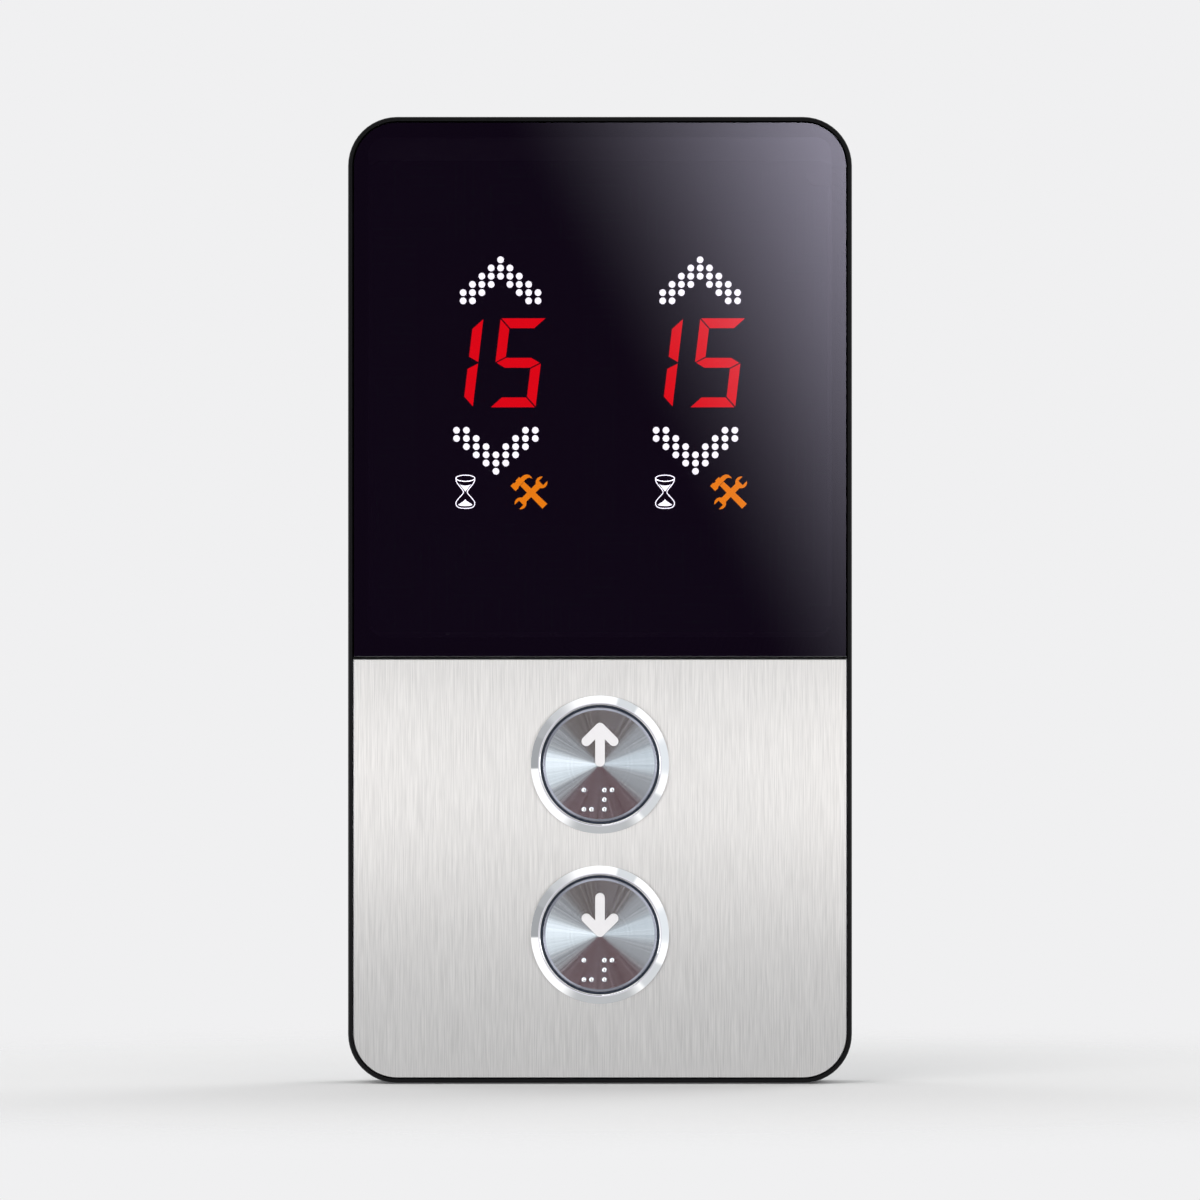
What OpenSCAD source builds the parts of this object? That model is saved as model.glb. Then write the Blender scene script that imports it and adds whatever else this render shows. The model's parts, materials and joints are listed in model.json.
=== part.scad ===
// Landing call panel of a pair of lifts.
// A black moulded frame on a folded wall plate holds a smoked window over two
// displays and a stainless face plate with an up and a down push button.
// The back rests on the wall, the front looks along -Y and +Z is up.

/* [Panel] */
// Overall width of the panel
panel_w = 146; // [136:1:180]
// Overall height of the panel
panel_h = 280; // [272:1:340]
// Radius of the panel's outer corners
corner_r = 14.2; // [10:0.1:18]
// Depth from the wall to the front of the rim
panel_d = 20; // [19.5:0.5:32]

/* [Front frame] */
// Width of the rim that shows round the window and the face plate
rim_w = 1.2; // [0.8:0.1:2]
// Radius on the rim's outer front edge
rim_edge = 0.5; // [0.2:0.1:0.7]
// Wall of the frame behind the ledge
frame_wall = 2.4; // [2.1:0.1:3.2]
// Width of the ledge that the window and the face plate lie on
ledge_w = 4.5; // [3:0.1:7]
// Thickness of the ledge behind the window
ledge_t = 2; // [1.5:0.1:3]
// Width of the crossbar between the window and the face plate
mullion_w = 12; // [8:0.5:16]
// Depth of the stiffening rib behind the crossbar
mullion_rib = 5; // [2:0.5:6]
// How far the window and the face plate lie below the rim
front_inset = 0.3; // [0.1:0.1:0.6]

/* [Window and face plate] */
// Distance of the split between window and face plate below the panel's centre
split_drop = 16.8; // [10:0.1:20]
// Gap at the split
split_gap = 0.5; // [0.3:0.1:1]
// Gap between the rim and the window or the face plate
side_gap = 0.2; // [0.1:0.05:0.4]
// Thickness of the smoked window
window_t = 3; // [2.6:0.1:4]
// Thickness of the face plate
plate_t = 2; // [1.5:0.1:2.2]
// Width of the broken front edge of the window and the face plate
edge_break = 0.3; // [0.1:0.05:0.6]
// Thickness of the bonding tape and of the plate's gasket
tape_t = 0.5; // [0.3:0.1:0.8]
// Diameter of the weld studs on the face plate
stud_d = 3; // [2.5:0.5:4]

/* [Displays] */
// Distance of each display from the panel's centre line
display_x = 28.95; // [26:0.05:34]
// Width of a display block
block_w = 48; // [44:0.5:50]
// Height of a display block
block_h = 82; // [80:0.5:86]
// Height of a display block's centre above the panel's centre
block_y = 63; // [62:0.5:65]
// Thickness of a display block
block_t = 8; // [5:0.5:8.5]
// Air gap between a display block and the window
block_gap = 0.3; // [0.1:0.1:0.6]
// Depth of the light wells in a display block
well_t = 2; // [1:0.1:3]
// Height of a digit
digit_h = 25.8; // [20:0.1:28]
// Width of a digit
digit_w = 13.2; // [10:0.1:14]
// Width of a digit's segments
segment_w = 2.85; // [1.8:0.05:3.2]
// Gap between neighbouring segments
segment_gap = 0.35; // [0.2:0.05:0.8]
// Sideways lean of a digit for each millimetre of height
digit_lean = 0.12; // [0:0.01:0.18]
// Length of the pointed ends of a digit's middle segment
point_run = 2.58; // [1.5:0.02:3]
// Distance from one digit to the next
digit_pitch = 18.2; // [16:0.1:20]
// Distance of the right digit to the right of the display's centre
digit_x = 5.2; // [4:0.1:7]
// Height of the digits' centre above the panel's centre
digit_y = 68.8; // [66:0.1:70]
// Diameter of the arrows' light dots
dot_d = 1.9; // [1:0.1:2.1]
// Distance from one row of dots to the next
dot_row = 2.38; // [2.2:0.02:2.5]
// Distance between the up arrow's columns
up_column = 2.715; // [2.3:0.005:2.9]
// Distance between the down arrow's columns
down_column = 2.855; // [2.3:0.005:2.9]
// Place of the up arrow's middle from the display's centre line and the panel's centre
up_place = [0.1, 92.75];
// Place of the down arrow's middle, measured the same way
down_place = [-1.25, 43.3];
// Place of the waiting symbol's lens, measured the same way
waiting_place = [-10.1, 31.3];
// Place of the service symbol's lens, measured the same way
service_place = [8.4, 31.3];
// Width of the waiting symbol's lens
waiting_w = 8; // [6:0.5:10]
// Width of the service symbol's lens
service_w = 13; // [10:0.5:15]
// Height of both symbol lenses
lens_h = 12; // [10:0.5:13]

/* [Display board] */
// Thickness of the display board
board_t = 1.6; // [1:0.1:2]
// Height of the sockets on the board's back
socket_t = 4.2; // [3:0.1:4.2]
// Side of the square controller
controller_w = 14; // [10:0.5:16]
// Distance of the controller from the board's centre line
controller_x = 34; // [30:1:38]
// Distance of the controller below the board's upper screws
controller_drop = 24; // [20:1:30]
// Width of a row driver
driver_w = 10; // [7:0.5:11]
// Distance from one row driver to the next
driver_pitch = 14; // [12:0.5:16]
// Distance of the row drivers above the board's lower screws
driver_rise = 14; // [10:1:16]
// Width of the power converter
converter_w = 6.5; // [5:0.5:8]
// Diameter of the round storage coil
coil_d = 6; // [4:0.5:8]
// Width of the field socket
field_socket_w = 30; // [24:1:36]
// Width of each button lead's socket
button_socket_w = 10; // [8:0.5:12]

/* [Wall plate] */
// Thickness of the folded wall plate
sheet_t = 1.5; // [1:0.1:1.5]
// Gap between the wall plate and the frame
plate_fit = 0.4; // [0.2:0.05:0.6]
// Width of the cable window
cable_w = 42; // [30:1:44]
// Height of the cable window
cable_h = 42; // [30:1:60]
// Height of the cable window's centre above the panel's centre
cable_y = 45; // [30:1:60]
// Diameter of the wall screw holes
wall_hole_d = 4.5; // [3.5:0.1:6]
// Distance of the wall screw holes from the panel's sides
wall_hole_side = 23; // [16:1:26]
// Distance of the wall screw holes from the panel's top and bottom
wall_hole_end = 20; // [18:1:30]
// Distance between the slots for a wall box
box_pitch = 60; // [58:1:66]
// Width of the wall box slots
box_slot_w = 4; // [3.5:0.1:5]
// Overall length of the wall box slots
box_slot_l = 8; // [5:0.5:9]
// Distance of the catches and of the lock screws from the centre line
lock_x = 40; // [30:1:48]
// Diameter of the lock screws
lock_d = 3; // [2.5:0.5:4]
// Distance of the lock screws from the wall
lock_z = 8; // [6:0.5:9]
// Distance of the earth stud from the panel's left side
earth_side = 25; // [22:1:30]
// Distance of the earth stud below the panel's centre
earth_drop = 74; // [70:1:90]

/* [Buttons] */
// Height of the upper button below the panel's centre
button_drop = 47.65; // [46:0.05:52]
// Distance from the upper to the lower button
button_pitch = 49.3; // [45:0.1:55]
// Radius of the metal cap
cap_r = 16.5; // [15.5:0.1:17]
// Thickness of the metal cap
cap_t = 1.2; // [0.8:0.1:1.5]
// Height of the cap above the face plate
cap_proud = 1.8; // [1.6:0.1:2.5]
// Travel of the button
press_travel = 1.5; // [0.5:0.1:1.5]
// Width of the cap's bevel
cap_bevel_w = 0.7; // [0.3:0.1:1.2]
// Depth of the cap's bevel
cap_bevel_t = 0.35; // [0.1:0.05:0.5]
// Height of the bezel above the face plate
bezel_proud = 2; // [1.5:0.1:2.5]
// Width of the bezel's ring seen from the front
bezel_w = 2.8; // [2.4:0.1:3.4]
// Height of the bezel's upright outer edge
bezel_edge = 0.8; // [0.7:0.05:1.2]
// Height of the light ring above the face plate
ring_proud = 1.2; // [0.6:0.1:1.5]
// Wall of the light ring
ring_wall = 0.45; // [0.4:0.05:0.8]
// Wall of the bezel's sleeve
sleeve_wall = 1; // [0.8:0.1:1.2]
// Length of the bezel's sleeve behind the face plate's front
sleeve_l = 8; // [7.5:0.1:8.5]
// Thickness of the clamp nut
nut_t = 3; // [2:0.1:3]
// Width of the clamp nut's ring
nut_w = 3.2; // [2.5:0.1:3.4]
// Number of notches in the clamp nut
nut_notches = 6; // [4:1:8]

/* [Arrow and dots on the caps] */
// Width of the arrow's strokes
arrow_stroke = 2.8; // [1.8:0.1:3.2]
// Length of the arrow's shaft from stroke end to stroke end
arrow_l = 12.7; // [10:0.1:13]
// Sideways reach of the arrow's arms to the middle of their round ends
arrow_reach = 3.95; // [3:0.05:4.5]
// Height of the arrow's middle above the button's centre
arrow_y = 5.75; // [5.5:0.05:6.5]
// Height of the arrow above the cap
arrow_proud = 0.2; // [0.1:0.05:0.4]
// Diameter of a touch dot
touch_d = 1.5; // [1.2:0.1:1.6]
// Height of a touch dot above the cap
touch_proud = 0.48; // [0.3:0.02:0.5]
// Sideways distance between touch dots of one letter
touch_column = 2.2; // [2:0.05:2.5]
// Upright distance between touch dots of one letter
touch_row = 2.8; // [2.2:0.05:2.8]
// Distance between the two letters
touch_letter = 5.94; // [5.5:0.02:6.5]
// Place of the first letter's top left dot from the button's centre
touch_place = [-4.67, -7.35];

/* [Return spring] */
// Diameter of the spring wire
wire_d = 0.6; // [0.4:0.05:0.8]
// Mean radius of the spring
spring_r = 9; // [8.8:0.05:9.2]
// Turns of the spring
spring_turns = 4.2; // [3:0.1:4.5]

/* [Hidden] */
$fn = 64;

// Finishes as they look from outside
black_plastic = "#1a1a1c";
smoked_glass = "#14101c";
stainless = "#c8c6c2";
chrome = "#e6e8ea";
turned_metal = "#b4b8bc";
galvanised = "#b9bdbf";
foam_black = "#222222";
board_green = "#1f5a3a";
chip_black = "#202022";
lit_white = "#f4f6ff";
lit_red = "#e6000f";
unlit_grey = "#2a2428";
navy_ring = "#1e283c";
socket_cream = "#e8e2d0";
steel_wire = "#9fa3a6";

// Distances from the wall of what lies one behind the other
front_z = panel_d - front_inset;
window_back = front_z - window_t;
plate_back = front_z - plate_t;
window_ledge = window_back - tape_t;
plate_ledge = plate_back - tape_t;
ledge_back = window_ledge - ledge_t;
block_front = window_back - block_gap;
block_back = block_front - block_t;
board_back = block_back - board_t;
well_floor = block_front - well_t;

// Outlines inside the frame
split_y = -split_drop;
pocket_w = panel_w - 2 * rim_w;
pocket_h = panel_h - 2 * rim_w;
pocket_r = corner_r - rim_w;
inside_w = panel_w - 2 * frame_wall;
inside_h = panel_h - 2 * frame_wall;
inside_r = corner_r - frame_wall;
opening_w = pocket_w - 2 * ledge_w;
opening_top = pocket_h / 2 - ledge_w;
opening_r = 5;
window_open = [split_y + mullion_w / 2, opening_top];
plate_open = [-opening_top, split_y - mullion_w / 2];
rib_w = 1.6;
overlap = 0.1;

// Lugs inside the frame for the display board and for the weld studs
lug_r = 3;
lug_x = opening_w / 2 - 4.3;
lug_inset = 6;
board_lugs_y = [window_open[0] + lug_inset, window_open[1] - lug_inset - 5];
stud_lugs_y = [plate_open[0] + lug_inset, plate_open[1] - lug_inset];
board_screw_r = 1.25;
board_screw_l = 5.5;
board_head_r = 2.8;
board_head_t = 1.8;
board_margin = [3.2, 4.5];
thread_fit = 0.05;
hole_fit = 0.3;
stud_l = 7.5;
hex_nut_t = 2.4;
hex_nut_r = stud_d * 1.06;

// Wall plate and its fixings
base_w = inside_w - 2 * plate_fit;
base_h = inside_h - 2 * plate_fit;
base_r = inside_r - plate_fit;
wall_hole_x = panel_w / 2 - wall_hole_side;
wall_hole_y = panel_h / 2 - wall_hole_end;
bend_r = 0.5;
bend = sheet_t + bend_r;
relief_w = 1.5;
tab_w = 16;
tab_h = 9;
tab_slot = [8, 3.8];
tab_slot_z = 4.5;
catch_fit = 0.2;
catch_l = inside_h / 2 - base_h / 2 + sheet_t + 1.2;
flange_w = 2 * lock_x + 30;
fold_root = bend + 1;
flange_h = 13;
clinch_r = lock_d;
clinch_l = 3;
lock_head_r = lock_d * 0.95;
lock_head_t = 1.6;
lock_key = [lock_d * 0.42, 0.9];
cable_r = 4;
earth_r = 2;
earth_l = 8;
earth_washer_t = 0.8;
earth_nut = [2 * earth_r, 2.6];

// Digits: the left digit shows 1 and the right digit shows 5
tens_lit = [1, 2];
units_lit = [0, 2, 3, 5, 6];
point_inset = 0.35;
dot_fit = 0.05;
block_r = 1.5;
lens_r = 1;

// Button, measured along its axis from the face plate's front, outwards positive
cap_gap = 0.15;
ring_fit = 0.1;
sleeve_fit = 0.05;
ring_in = cap_r + cap_gap;
ring_out = ring_in + ring_wall;
bezel_in = ring_out + ring_fit;
bezel_out = bezel_in + bezel_w;
sleeve_out = bezel_in + sleeve_wall;
plate_hole_r = sleeve_out + 0.2;
bezel_lip_r = 0.4;
bezel_land = 0.6;
gasket_t = 0.6;
key_w = 2;
key_t = 0.7;
nut_in = sleeve_out + ring_fit;
nut_out = nut_in + nut_w;
nut_chamfer = 0.5;
notch_w = 2.4;
notch_t = 1;
body_wall = 1.25;
body_in = sleeve_out + sleeve_fit;
body_out = body_in + body_wall;
grip_w = 1;
grip_t = 0.4;
body_front = -plate_t - nut_t - 0.4;
body_chamfer = 0.6;
grip_start = body_chamfer + 0.4;
grips = 12;
lead_notch = [12, 6, 1.2];
deck_top = -sleeve_l - 0.2;
deck_t = 1.3;
deck_back = deck_top - deck_t;
led_front = deck_back - 0.6;
led_board_t = 1.6;
led_board_back = led_front - led_board_t;
led_board_r = bezel_in - 0.6;
body_back = led_board_back - 1.3;
foot_t = 1;
foot_in = ring_out - 2.6;
cap_back_bevel = 0.2;
carrier_top = cap_proud - cap_t;
carrier_rib = [1, 1.5];
web_t = 2;
web_back = carrier_top - web_t;
carrier_r = ring_in - 0.25;
skirt_wall = 1.2;
skirt_back = deck_top + foot_t + press_travel + 0.7;
seat_wall = 0.8;
seat_fit = 0.15;
seat_t = 1;
seat_in = spring_r + wire_d / 2 + seat_fit;
post_x = spring_r + 3;
post_r = 1.95;
post_l = 4.2;
screw_r = 1;
screw_l = 4.6;
screw_head_r = 1.9;
screw_head_t = 1.3;
switch_w = 8;
switch_t = 3.9;
switch_top = led_front + switch_t;
switch_gap = 0.2;
plunger_r = 1.75;
plunger_fit = 0.1;
plunger_top = switch_top + press_travel + 0.1;
plunger_floor = led_front + 0.4;
plunger_back = plunger_floor + press_travel + 0.2;
plunger_chamfer = 0.4;
stem_r = 2.5;
stem_back = plunger_top + 0.1;
hook_w = 3;
hook_in = 12.2;
hook_t = 1.2;
hook_barb = 0.8;
hook_fit = 0.2;
hook_back = deck_back - 1.1;
led_ring_r = foot_in + 0.7;
led_size = [2, 1.25, 0.8];
led_count = 4;
led_window_r = 1.3;
socket_size = [10, 5.5, 4.5];
socket_wall = 0.8;
socket_y = -8;

function button_y(which) = -button_drop - which * button_pitch;

// Places things drawn as seen from the front, with z as the distance from the wall
module on_wall() {
    rotate([90, 0, 0]) children();
}

// Places things on a button's axis; 0 is the up button and 1 the down button
module at_button(which) {
    on_wall() translate([0, button_y(which), front_z]) children();
}

// Places things on a display's centre line; -1 is the left and 1 the right one
module at_display(side) {
    on_wall() translate([side * display_x, 0, 0]) children();
}

// A layer of the given outline between two distances
module layer(low, high) {
    translate([0, 0, low]) linear_extrude(high - low) children();
}

module rounded_rect(w, h, r) {
    square([w, h - 2 * r], center = true);
    square([w - 2 * r, h], center = true);
    for (sx = [-1, 1], sy = [-1, 1])
        translate([sx * (w / 2 - r), sy * (h / 2 - r)]) circle(r);
}

// Rounded rectangle between two heights, as the frame's openings have
module rounded_bay(w, low, high, r) {
    translate([0, (low + high) / 2]) rounded_rect(w, high - low, r);
}

// Half sections of a slab, from its middle out to its rounded or bevelled edge
module round_section(half, t, edge) {
    square([half, t - edge]);
    square([half - edge, t]);
    translate([half - edge, t - edge]) circle(edge);
}

module bevel_section(half, t, edge) {
    polygon([[0, 0], [half, 0], [half, t - edge], [half - edge, t], [0, t]]);
}

// Slab with rounded corners and a bevelled or rounded front edge
module edged_slab(w, h, r, t, edge, bevelled) {
    for (sx = [-1, 1], sy = [-1, 1])
        translate([sx * (w / 2 - r), sy * (h / 2 - r), 0])
            rotate_extrude() slab_section(r, t, edge, bevelled);
    rotate([90, 0, 0]) linear_extrude(h - 2 * r, center = true)
        both_halves() slab_section(w / 2, t, edge, bevelled);
    rotate([90, 0, 90]) linear_extrude(w - 2 * r, center = true)
        both_halves() slab_section(h / 2, t, edge, bevelled);
}

module slab_section(half, t, edge, bevelled) {
    if (bevelled)
        bevel_section(half, t, edge);
    else
        intersection() {
            round_section(half, t, edge);
            square([half, t]);
        }
}

module both_halves() {
    children();
    mirror([1, 0]) children();
}

// Outline of the rim's pocket above (1) or below (-1) the split
module pocket_half(side, gap) {
    reach = pocket_h / 2;
    low = side > 0 ? split_y + gap : -reach;
    high = side > 0 ? reach : split_y - gap;
    intersection() {
        rounded_rect(pocket_w, pocket_h, pocket_r);
        translate([-pocket_w / 2, low]) square([pocket_w, high - low]);
    }
}

// Window or face plate blank that fills its pocket, with a broken front edge
module inset_panel(side, t) {
    w = pocket_w - 2 * side_gap;
    h = pocket_h - 2 * side_gap;
    reach = h / 2 + side * split_drop;
    cut = split_gap / 2;
    translate([0, 0, front_z - t]) intersection() {
        edged_slab(w, h, pocket_r - side_gap, t, edge_break, true);
        translate([0, split_y, 0]) mirror([0, side > 0 ? 0 : 1, 0])
            rotate([90, 0, 90]) linear_extrude(w + 1, center = true)
                polygon([[cut, -1], [cut, t - edge_break], [cut + edge_break, t],
                    [cut + edge_break, t + 1], [reach + 1, t + 1], [reach + 1, -1]]);
    }
}

// Wall plate

// Section of a folded edge: base towards +x, upright leg towards +y
module bend_section(leg, height) {
    translate([bend, bend]) intersection() {
        difference() {
            circle(bend);
            circle(bend_r);
        }
        translate([-bend, -bend]) square(bend);
    }
    translate([bend, 0]) square([leg - bend, sheet_t]);
    translate([0, bend]) square([sheet_t, height - bend]);
}

// Leg folded forward from the base's top (1) or bottom (-1) edge
module folded_leg(side, w, height) {
    translate([0, side * base_h / 2, 0]) mirror([0, side > 0 ? 1 : 0, 0])
        rotate([90, 0, 90]) linear_extrude(w, center = true) bend_section(fold_root, height);
}

// Slot of length l and width w that runs sideways
module obround(l, w) {
    square([l - w, w], center = true);
    for (s = [-1, 1])
        translate([s * (l - w) / 2, 0]) circle(d = w);
}

module wall_plate_outline() {
    difference() {
        rounded_rect(base_w, base_h, base_r);
        for (sx = [-1, 1])
            translate([sx * lock_x, base_h / 2]) square([tab_w + 2 * relief_w, 2 * bend], center = true);
        translate([0, -base_h / 2]) square([flange_w + 2 * relief_w, 2 * bend], center = true);
        translate([0, cable_y]) rounded_rect(cable_w, cable_h, cable_r);
        for (sx = [-1, 1], sy = [-1, 1])
            translate([sx * wall_hole_x, sy * wall_hole_y]) circle(d = wall_hole_d);
        for (sx = [-1, 1])
            translate([sx * box_pitch / 2, cable_y]) obround(box_slot_l, box_slot_w);
    }
}

module wall_plate() {
    color(galvanised) on_wall() {
        layer(0, sheet_t) wall_plate_outline();
        for (sx = [-1, 1])
            translate([sx * lock_x, 0, 0]) difference() {
                folded_leg(1, tab_w, tab_h);
                translate([-tab_slot[0] / 2, base_h / 2 - bend - 1, tab_slot_z - tab_slot[1] / 2])
                    cube([tab_slot[0], bend + 2, tab_slot[1]]);
            }
        difference() {
            union() {
                folded_leg(-1, flange_w, flange_h);
                for (sx = [-1, 1])
                    lock_axis(sx) translate([0, 0, sheet_t - overlap])
                        cylinder(r = clinch_r, h = clinch_l + overlap);
            }
            for (sx = [-1, 1])
                lock_axis(sx) translate([0, 0, -1])
                    cylinder(r = lock_d / 2 + thread_fit, h = clinch_l + sheet_t + 2);
        }
    }
}

// Axis of a lock screw, pointing up from the flange's lower face
module lock_axis(side) {
    translate([side * lock_x, -base_h / 2, lock_z]) rotate([-90, 0, 0]) children();
}

module earth_stud() {
    color(galvanised) on_wall() translate([earth_side - panel_w / 2, -earth_drop, sheet_t]) {
        cylinder(r = 1.7 * earth_r, h = earth_washer_t);
        cylinder(r = earth_r, h = earth_l);
        translate([0, 0, 2 * earth_washer_t])
            cylinder(r = earth_nut[0], h = earth_nut[1], $fn = 6);
    }
}

module lock_screws() {
    head_face = panel_h / 2 - base_h / 2;
    color(chrome) on_wall()
        for (sx = [-1, 1])
            lock_axis(sx) translate([0, 0, -head_face]) difference() {
                union() {
                    cylinder(r1 = lock_head_r, r2 = lock_d / 2, h = lock_head_t);
                    cylinder(r = lock_d / 2, h = head_face + sheet_t + clinch_l + 1);
                }
                translate([0, 0, -1]) cylinder(r = lock_key[0], h = lock_key[1] + 1, $fn = 6);
            }
}

// Front frame

module side_lug(x, y, low, high) {
    for (s = [0, 1])
        mirror([s, 0, 0]) {
            translate([x, y, low]) cylinder(r = lug_r, h = high - low);
            translate([x, y - lug_r, low])
                cube([inside_w / 2 + overlap - x, 2 * lug_r, high - low]);
        }
}

module frame_cuts() {
    layer(-1, ledge_back) rounded_rect(inside_w, inside_h, inside_r);
    layer(window_ledge, panel_d + 1) pocket_half(1, 0);
    layer(plate_ledge, panel_d + 1) pocket_half(-1, -overlap);
    layer(ledge_back - 1, panel_d) {
        rounded_bay(opening_w, window_open[0], window_open[1], opening_r);
        rounded_bay(opening_w, plate_open[0], plate_open[1], opening_r);
    }
}

module lock_screw_holes() {
    drop = panel_h / 2 - base_h / 2;
    for (sx = [-1, 1])
        lock_axis(sx) {
            translate([0, 0, -drop - 1]) cylinder(r = lock_d / 2 + hole_fit, h = frame_wall + 2);
            translate([0, 0, -drop])
                cylinder(r1 = lock_head_r + hole_fit, r2 = lock_d / 2 + hole_fit, h = lock_head_t);
        }
}

module front_frame() {
    color(black_plastic) on_wall() difference() {
        union() {
            difference() {
                edged_slab(panel_w, panel_h, corner_r, panel_d, rim_edge, false);
                frame_cuts();
            }
            for (y = board_lugs_y)
                side_lug(lug_x, y, block_back, window_ledge);
            for (y = stud_lugs_y)
                side_lug(lug_x, y, ledge_back, plate_ledge);
            translate([-inside_w / 2 - overlap, split_y - rib_w / 2, ledge_back - mullion_rib])
                cube([inside_w + 2 * overlap, rib_w, mullion_rib + overlap]);
            for (sx = [-1, 1])
                translate([sx * lock_x - tab_slot[0] / 2 + catch_fit, inside_h / 2 - catch_l,
                    tab_slot_z - tab_slot[1] / 2 + catch_fit])
                    cube([tab_slot[0] - 2 * catch_fit, catch_l + overlap, tab_slot[1] - 2 * catch_fit]);
        }
        for (sx = [-1, 1], y = board_lugs_y)
            translate([sx * lug_x, y, block_back - 1])
                cylinder(r = board_screw_r + thread_fit, h = board_screw_l + 1.5);
        for (sx = [-1, 1], y = stud_lugs_y)
            translate([sx * lug_x, y, ledge_back - 1])
                cylinder(r = stud_d / 2 + hole_fit, h = plate_ledge - ledge_back + 2);
        lock_screw_holes();
    }
}

// Window, face plate and what bonds them

module display_window() {
    color(smoked_glass, 0.85) on_wall() inset_panel(1, window_t);
}

// Strip along the ledge above (1) or below (-1) the split
module ledge_strip(side, bay) {
    difference() {
        intersection() {
            rounded_rect(pocket_w - 4 * side_gap, pocket_h - 4 * side_gap, pocket_r - 2 * side_gap);
            pocket_half(side, split_gap);
        }
        rounded_bay(opening_w, bay[0], bay[1], opening_r);
    }
}

module window_tape() {
    color(foam_black) on_wall() layer(window_ledge, window_back) ledge_strip(1, window_open);
}

module plate_gasket() {
    color(foam_black) on_wall() layer(plate_ledge, plate_back) ledge_strip(-1, plate_open);
}

module face_plate() {
    color(stainless) on_wall() {
        difference() {
            inset_panel(-1, plate_t);
            for (which = [0, 1])
                translate([0, button_y(which), plate_back - 1]) {
                    cylinder(r = plate_hole_r, h = plate_t + 2);
                    translate([-key_w / 2 - sleeve_fit, -plate_hole_r - key_t, 0])
                        cube([key_w + 2 * sleeve_fit, plate_hole_r, plate_t + 2]);
                }
        }
        for (sx = [-1, 1], y = stud_lugs_y)
            translate([sx * lug_x, y, plate_back - stud_l])
                cylinder(r = stud_d / 2, h = stud_l + overlap);
    }
}

module plate_nuts() {
    color(galvanised) on_wall()
        for (sx = [-1, 1], y = stud_lugs_y)
            translate([sx * lug_x, y, ledge_back - hex_nut_t]) difference() {
                cylinder(r = hex_nut_r, h = hex_nut_t, $fn = 6);
                translate([0, 0, -1]) cylinder(r = stud_d / 2 + thread_fit, h = hex_nut_t + 2);
            }
}

// Display board

module display_board() {
    w = 2 * (lug_x + board_margin[0]);
    low = board_lugs_y[0] - board_margin[1];
    high = board_lugs_y[1] + board_margin[1];
    color(board_green) on_wall() layer(board_back, block_back) difference() {
        rounded_bay(w, low, high, 2);
        for (sx = [-1, 1], y = board_lugs_y)
            translate([sx * lug_x, y]) circle(board_screw_r + hole_fit);
    }
}

module chip(place, size) {
    translate([place[0] - size[0] / 2, place[1] - size[1] / 2, board_back - size[2]]) cube(size);
}

module controller_chips() {
    y = board_lugs_y[1] - controller_drop;
    color(chip_black) on_wall() {
        chip([-controller_x, y], [controller_w, controller_w, 0.1 * controller_w]);
        for (side = [-1, 1], turn = [-1, 1])
            chip([side * display_x + turn * driver_pitch / 2, board_lugs_y[0] + driver_rise],
                [driver_w, 0.6 * driver_w, 0.16 * driver_w]);
        chip([controller_x, y], [converter_w, 1.4 * converter_w, 0.35 * converter_w]);
        translate([controller_x - 2 * converter_w, y, board_back - 0.65 * coil_d])
            cylinder(d = coil_d, h = 0.65 * coil_d);
    }
}

module board_sockets() {
    color(socket_cream) on_wall() {
        chip([0, cable_y + cable_h / 2 + 0.4 * field_socket_w],
            [field_socket_w, 0.23 * field_socket_w, socket_t]);
        for (sx = [-1, 1])
            chip([sx * 1.2 * button_socket_w, board_lugs_y[0] + 0.1 * button_socket_w],
                [button_socket_w, 0.6 * button_socket_w, socket_t]);
    }
}

module board_screws() {
    color(chrome) on_wall()
        for (sx = [-1, 1], y = board_lugs_y)
            translate([sx * lug_x, y, board_back]) difference() {
                union() {
                    translate([0, 0, -board_head_t]) cylinder(r = board_head_r, h = board_head_t);
                    translate([0, 0, -overlap])
                        cylinder(r = board_screw_r, h = board_t + board_screw_l + overlap);
                }
                translate([0, 0, -board_head_t - 1]) cross_recess(board_head_r, 2);
            }
}

// Recess for a cross-head driver
module cross_recess(head_r, depth) {
    blade = [1.1 * head_r, 0.6];
    for (turn = [0, 90])
        rotate(turn) translate([-blade[0] / 2, -blade[1] / 2, 0]) cube([blade[0], blade[1], depth]);
}

// Displays

// Corners of the segments of a digit with its middle at the origin
half_w = digit_w / 2;
half_h = digit_h / 2;
mitre = segment_gap / sqrt(2);
point_slope = segment_w / 2 / point_run;
point_gap = segment_gap * sqrt(1 + point_slope * point_slope);
level_segment = [
    [mitre - half_w, half_h],
    [half_w - mitre, half_h],
    [half_w - segment_w - mitre, half_h - segment_w],
    [segment_w + mitre - half_w, half_h - segment_w]
];
upright_segment = [
    [half_w, half_h - mitre],
    [half_w, point_gap - point_slope * point_inset],
    [half_w - segment_w, point_gap + point_slope * (segment_w - point_inset)],
    [half_w - segment_w, half_h - segment_w - mitre]
];
middle_segment = [
    for (p = [[0, 0], [1, 1]]) [half_w - point_inset - p[0] * point_run, p[1] * segment_w / 2],
    for (p = [[1, 1], [0, 0]]) [p[0] * point_run + point_inset - half_w, p[1] * segment_w / 2],
    [point_run + point_inset - half_w, -segment_w / 2],
    [half_w - point_inset - point_run, -segment_w / 2]
];
function turned(points, sx, sy) = [for (p = points) [sx * p[0], sy * p[1]]];
function leaning(points) = [for (p = points) [p[0] + digit_lean * p[1], p[1]]];
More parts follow.
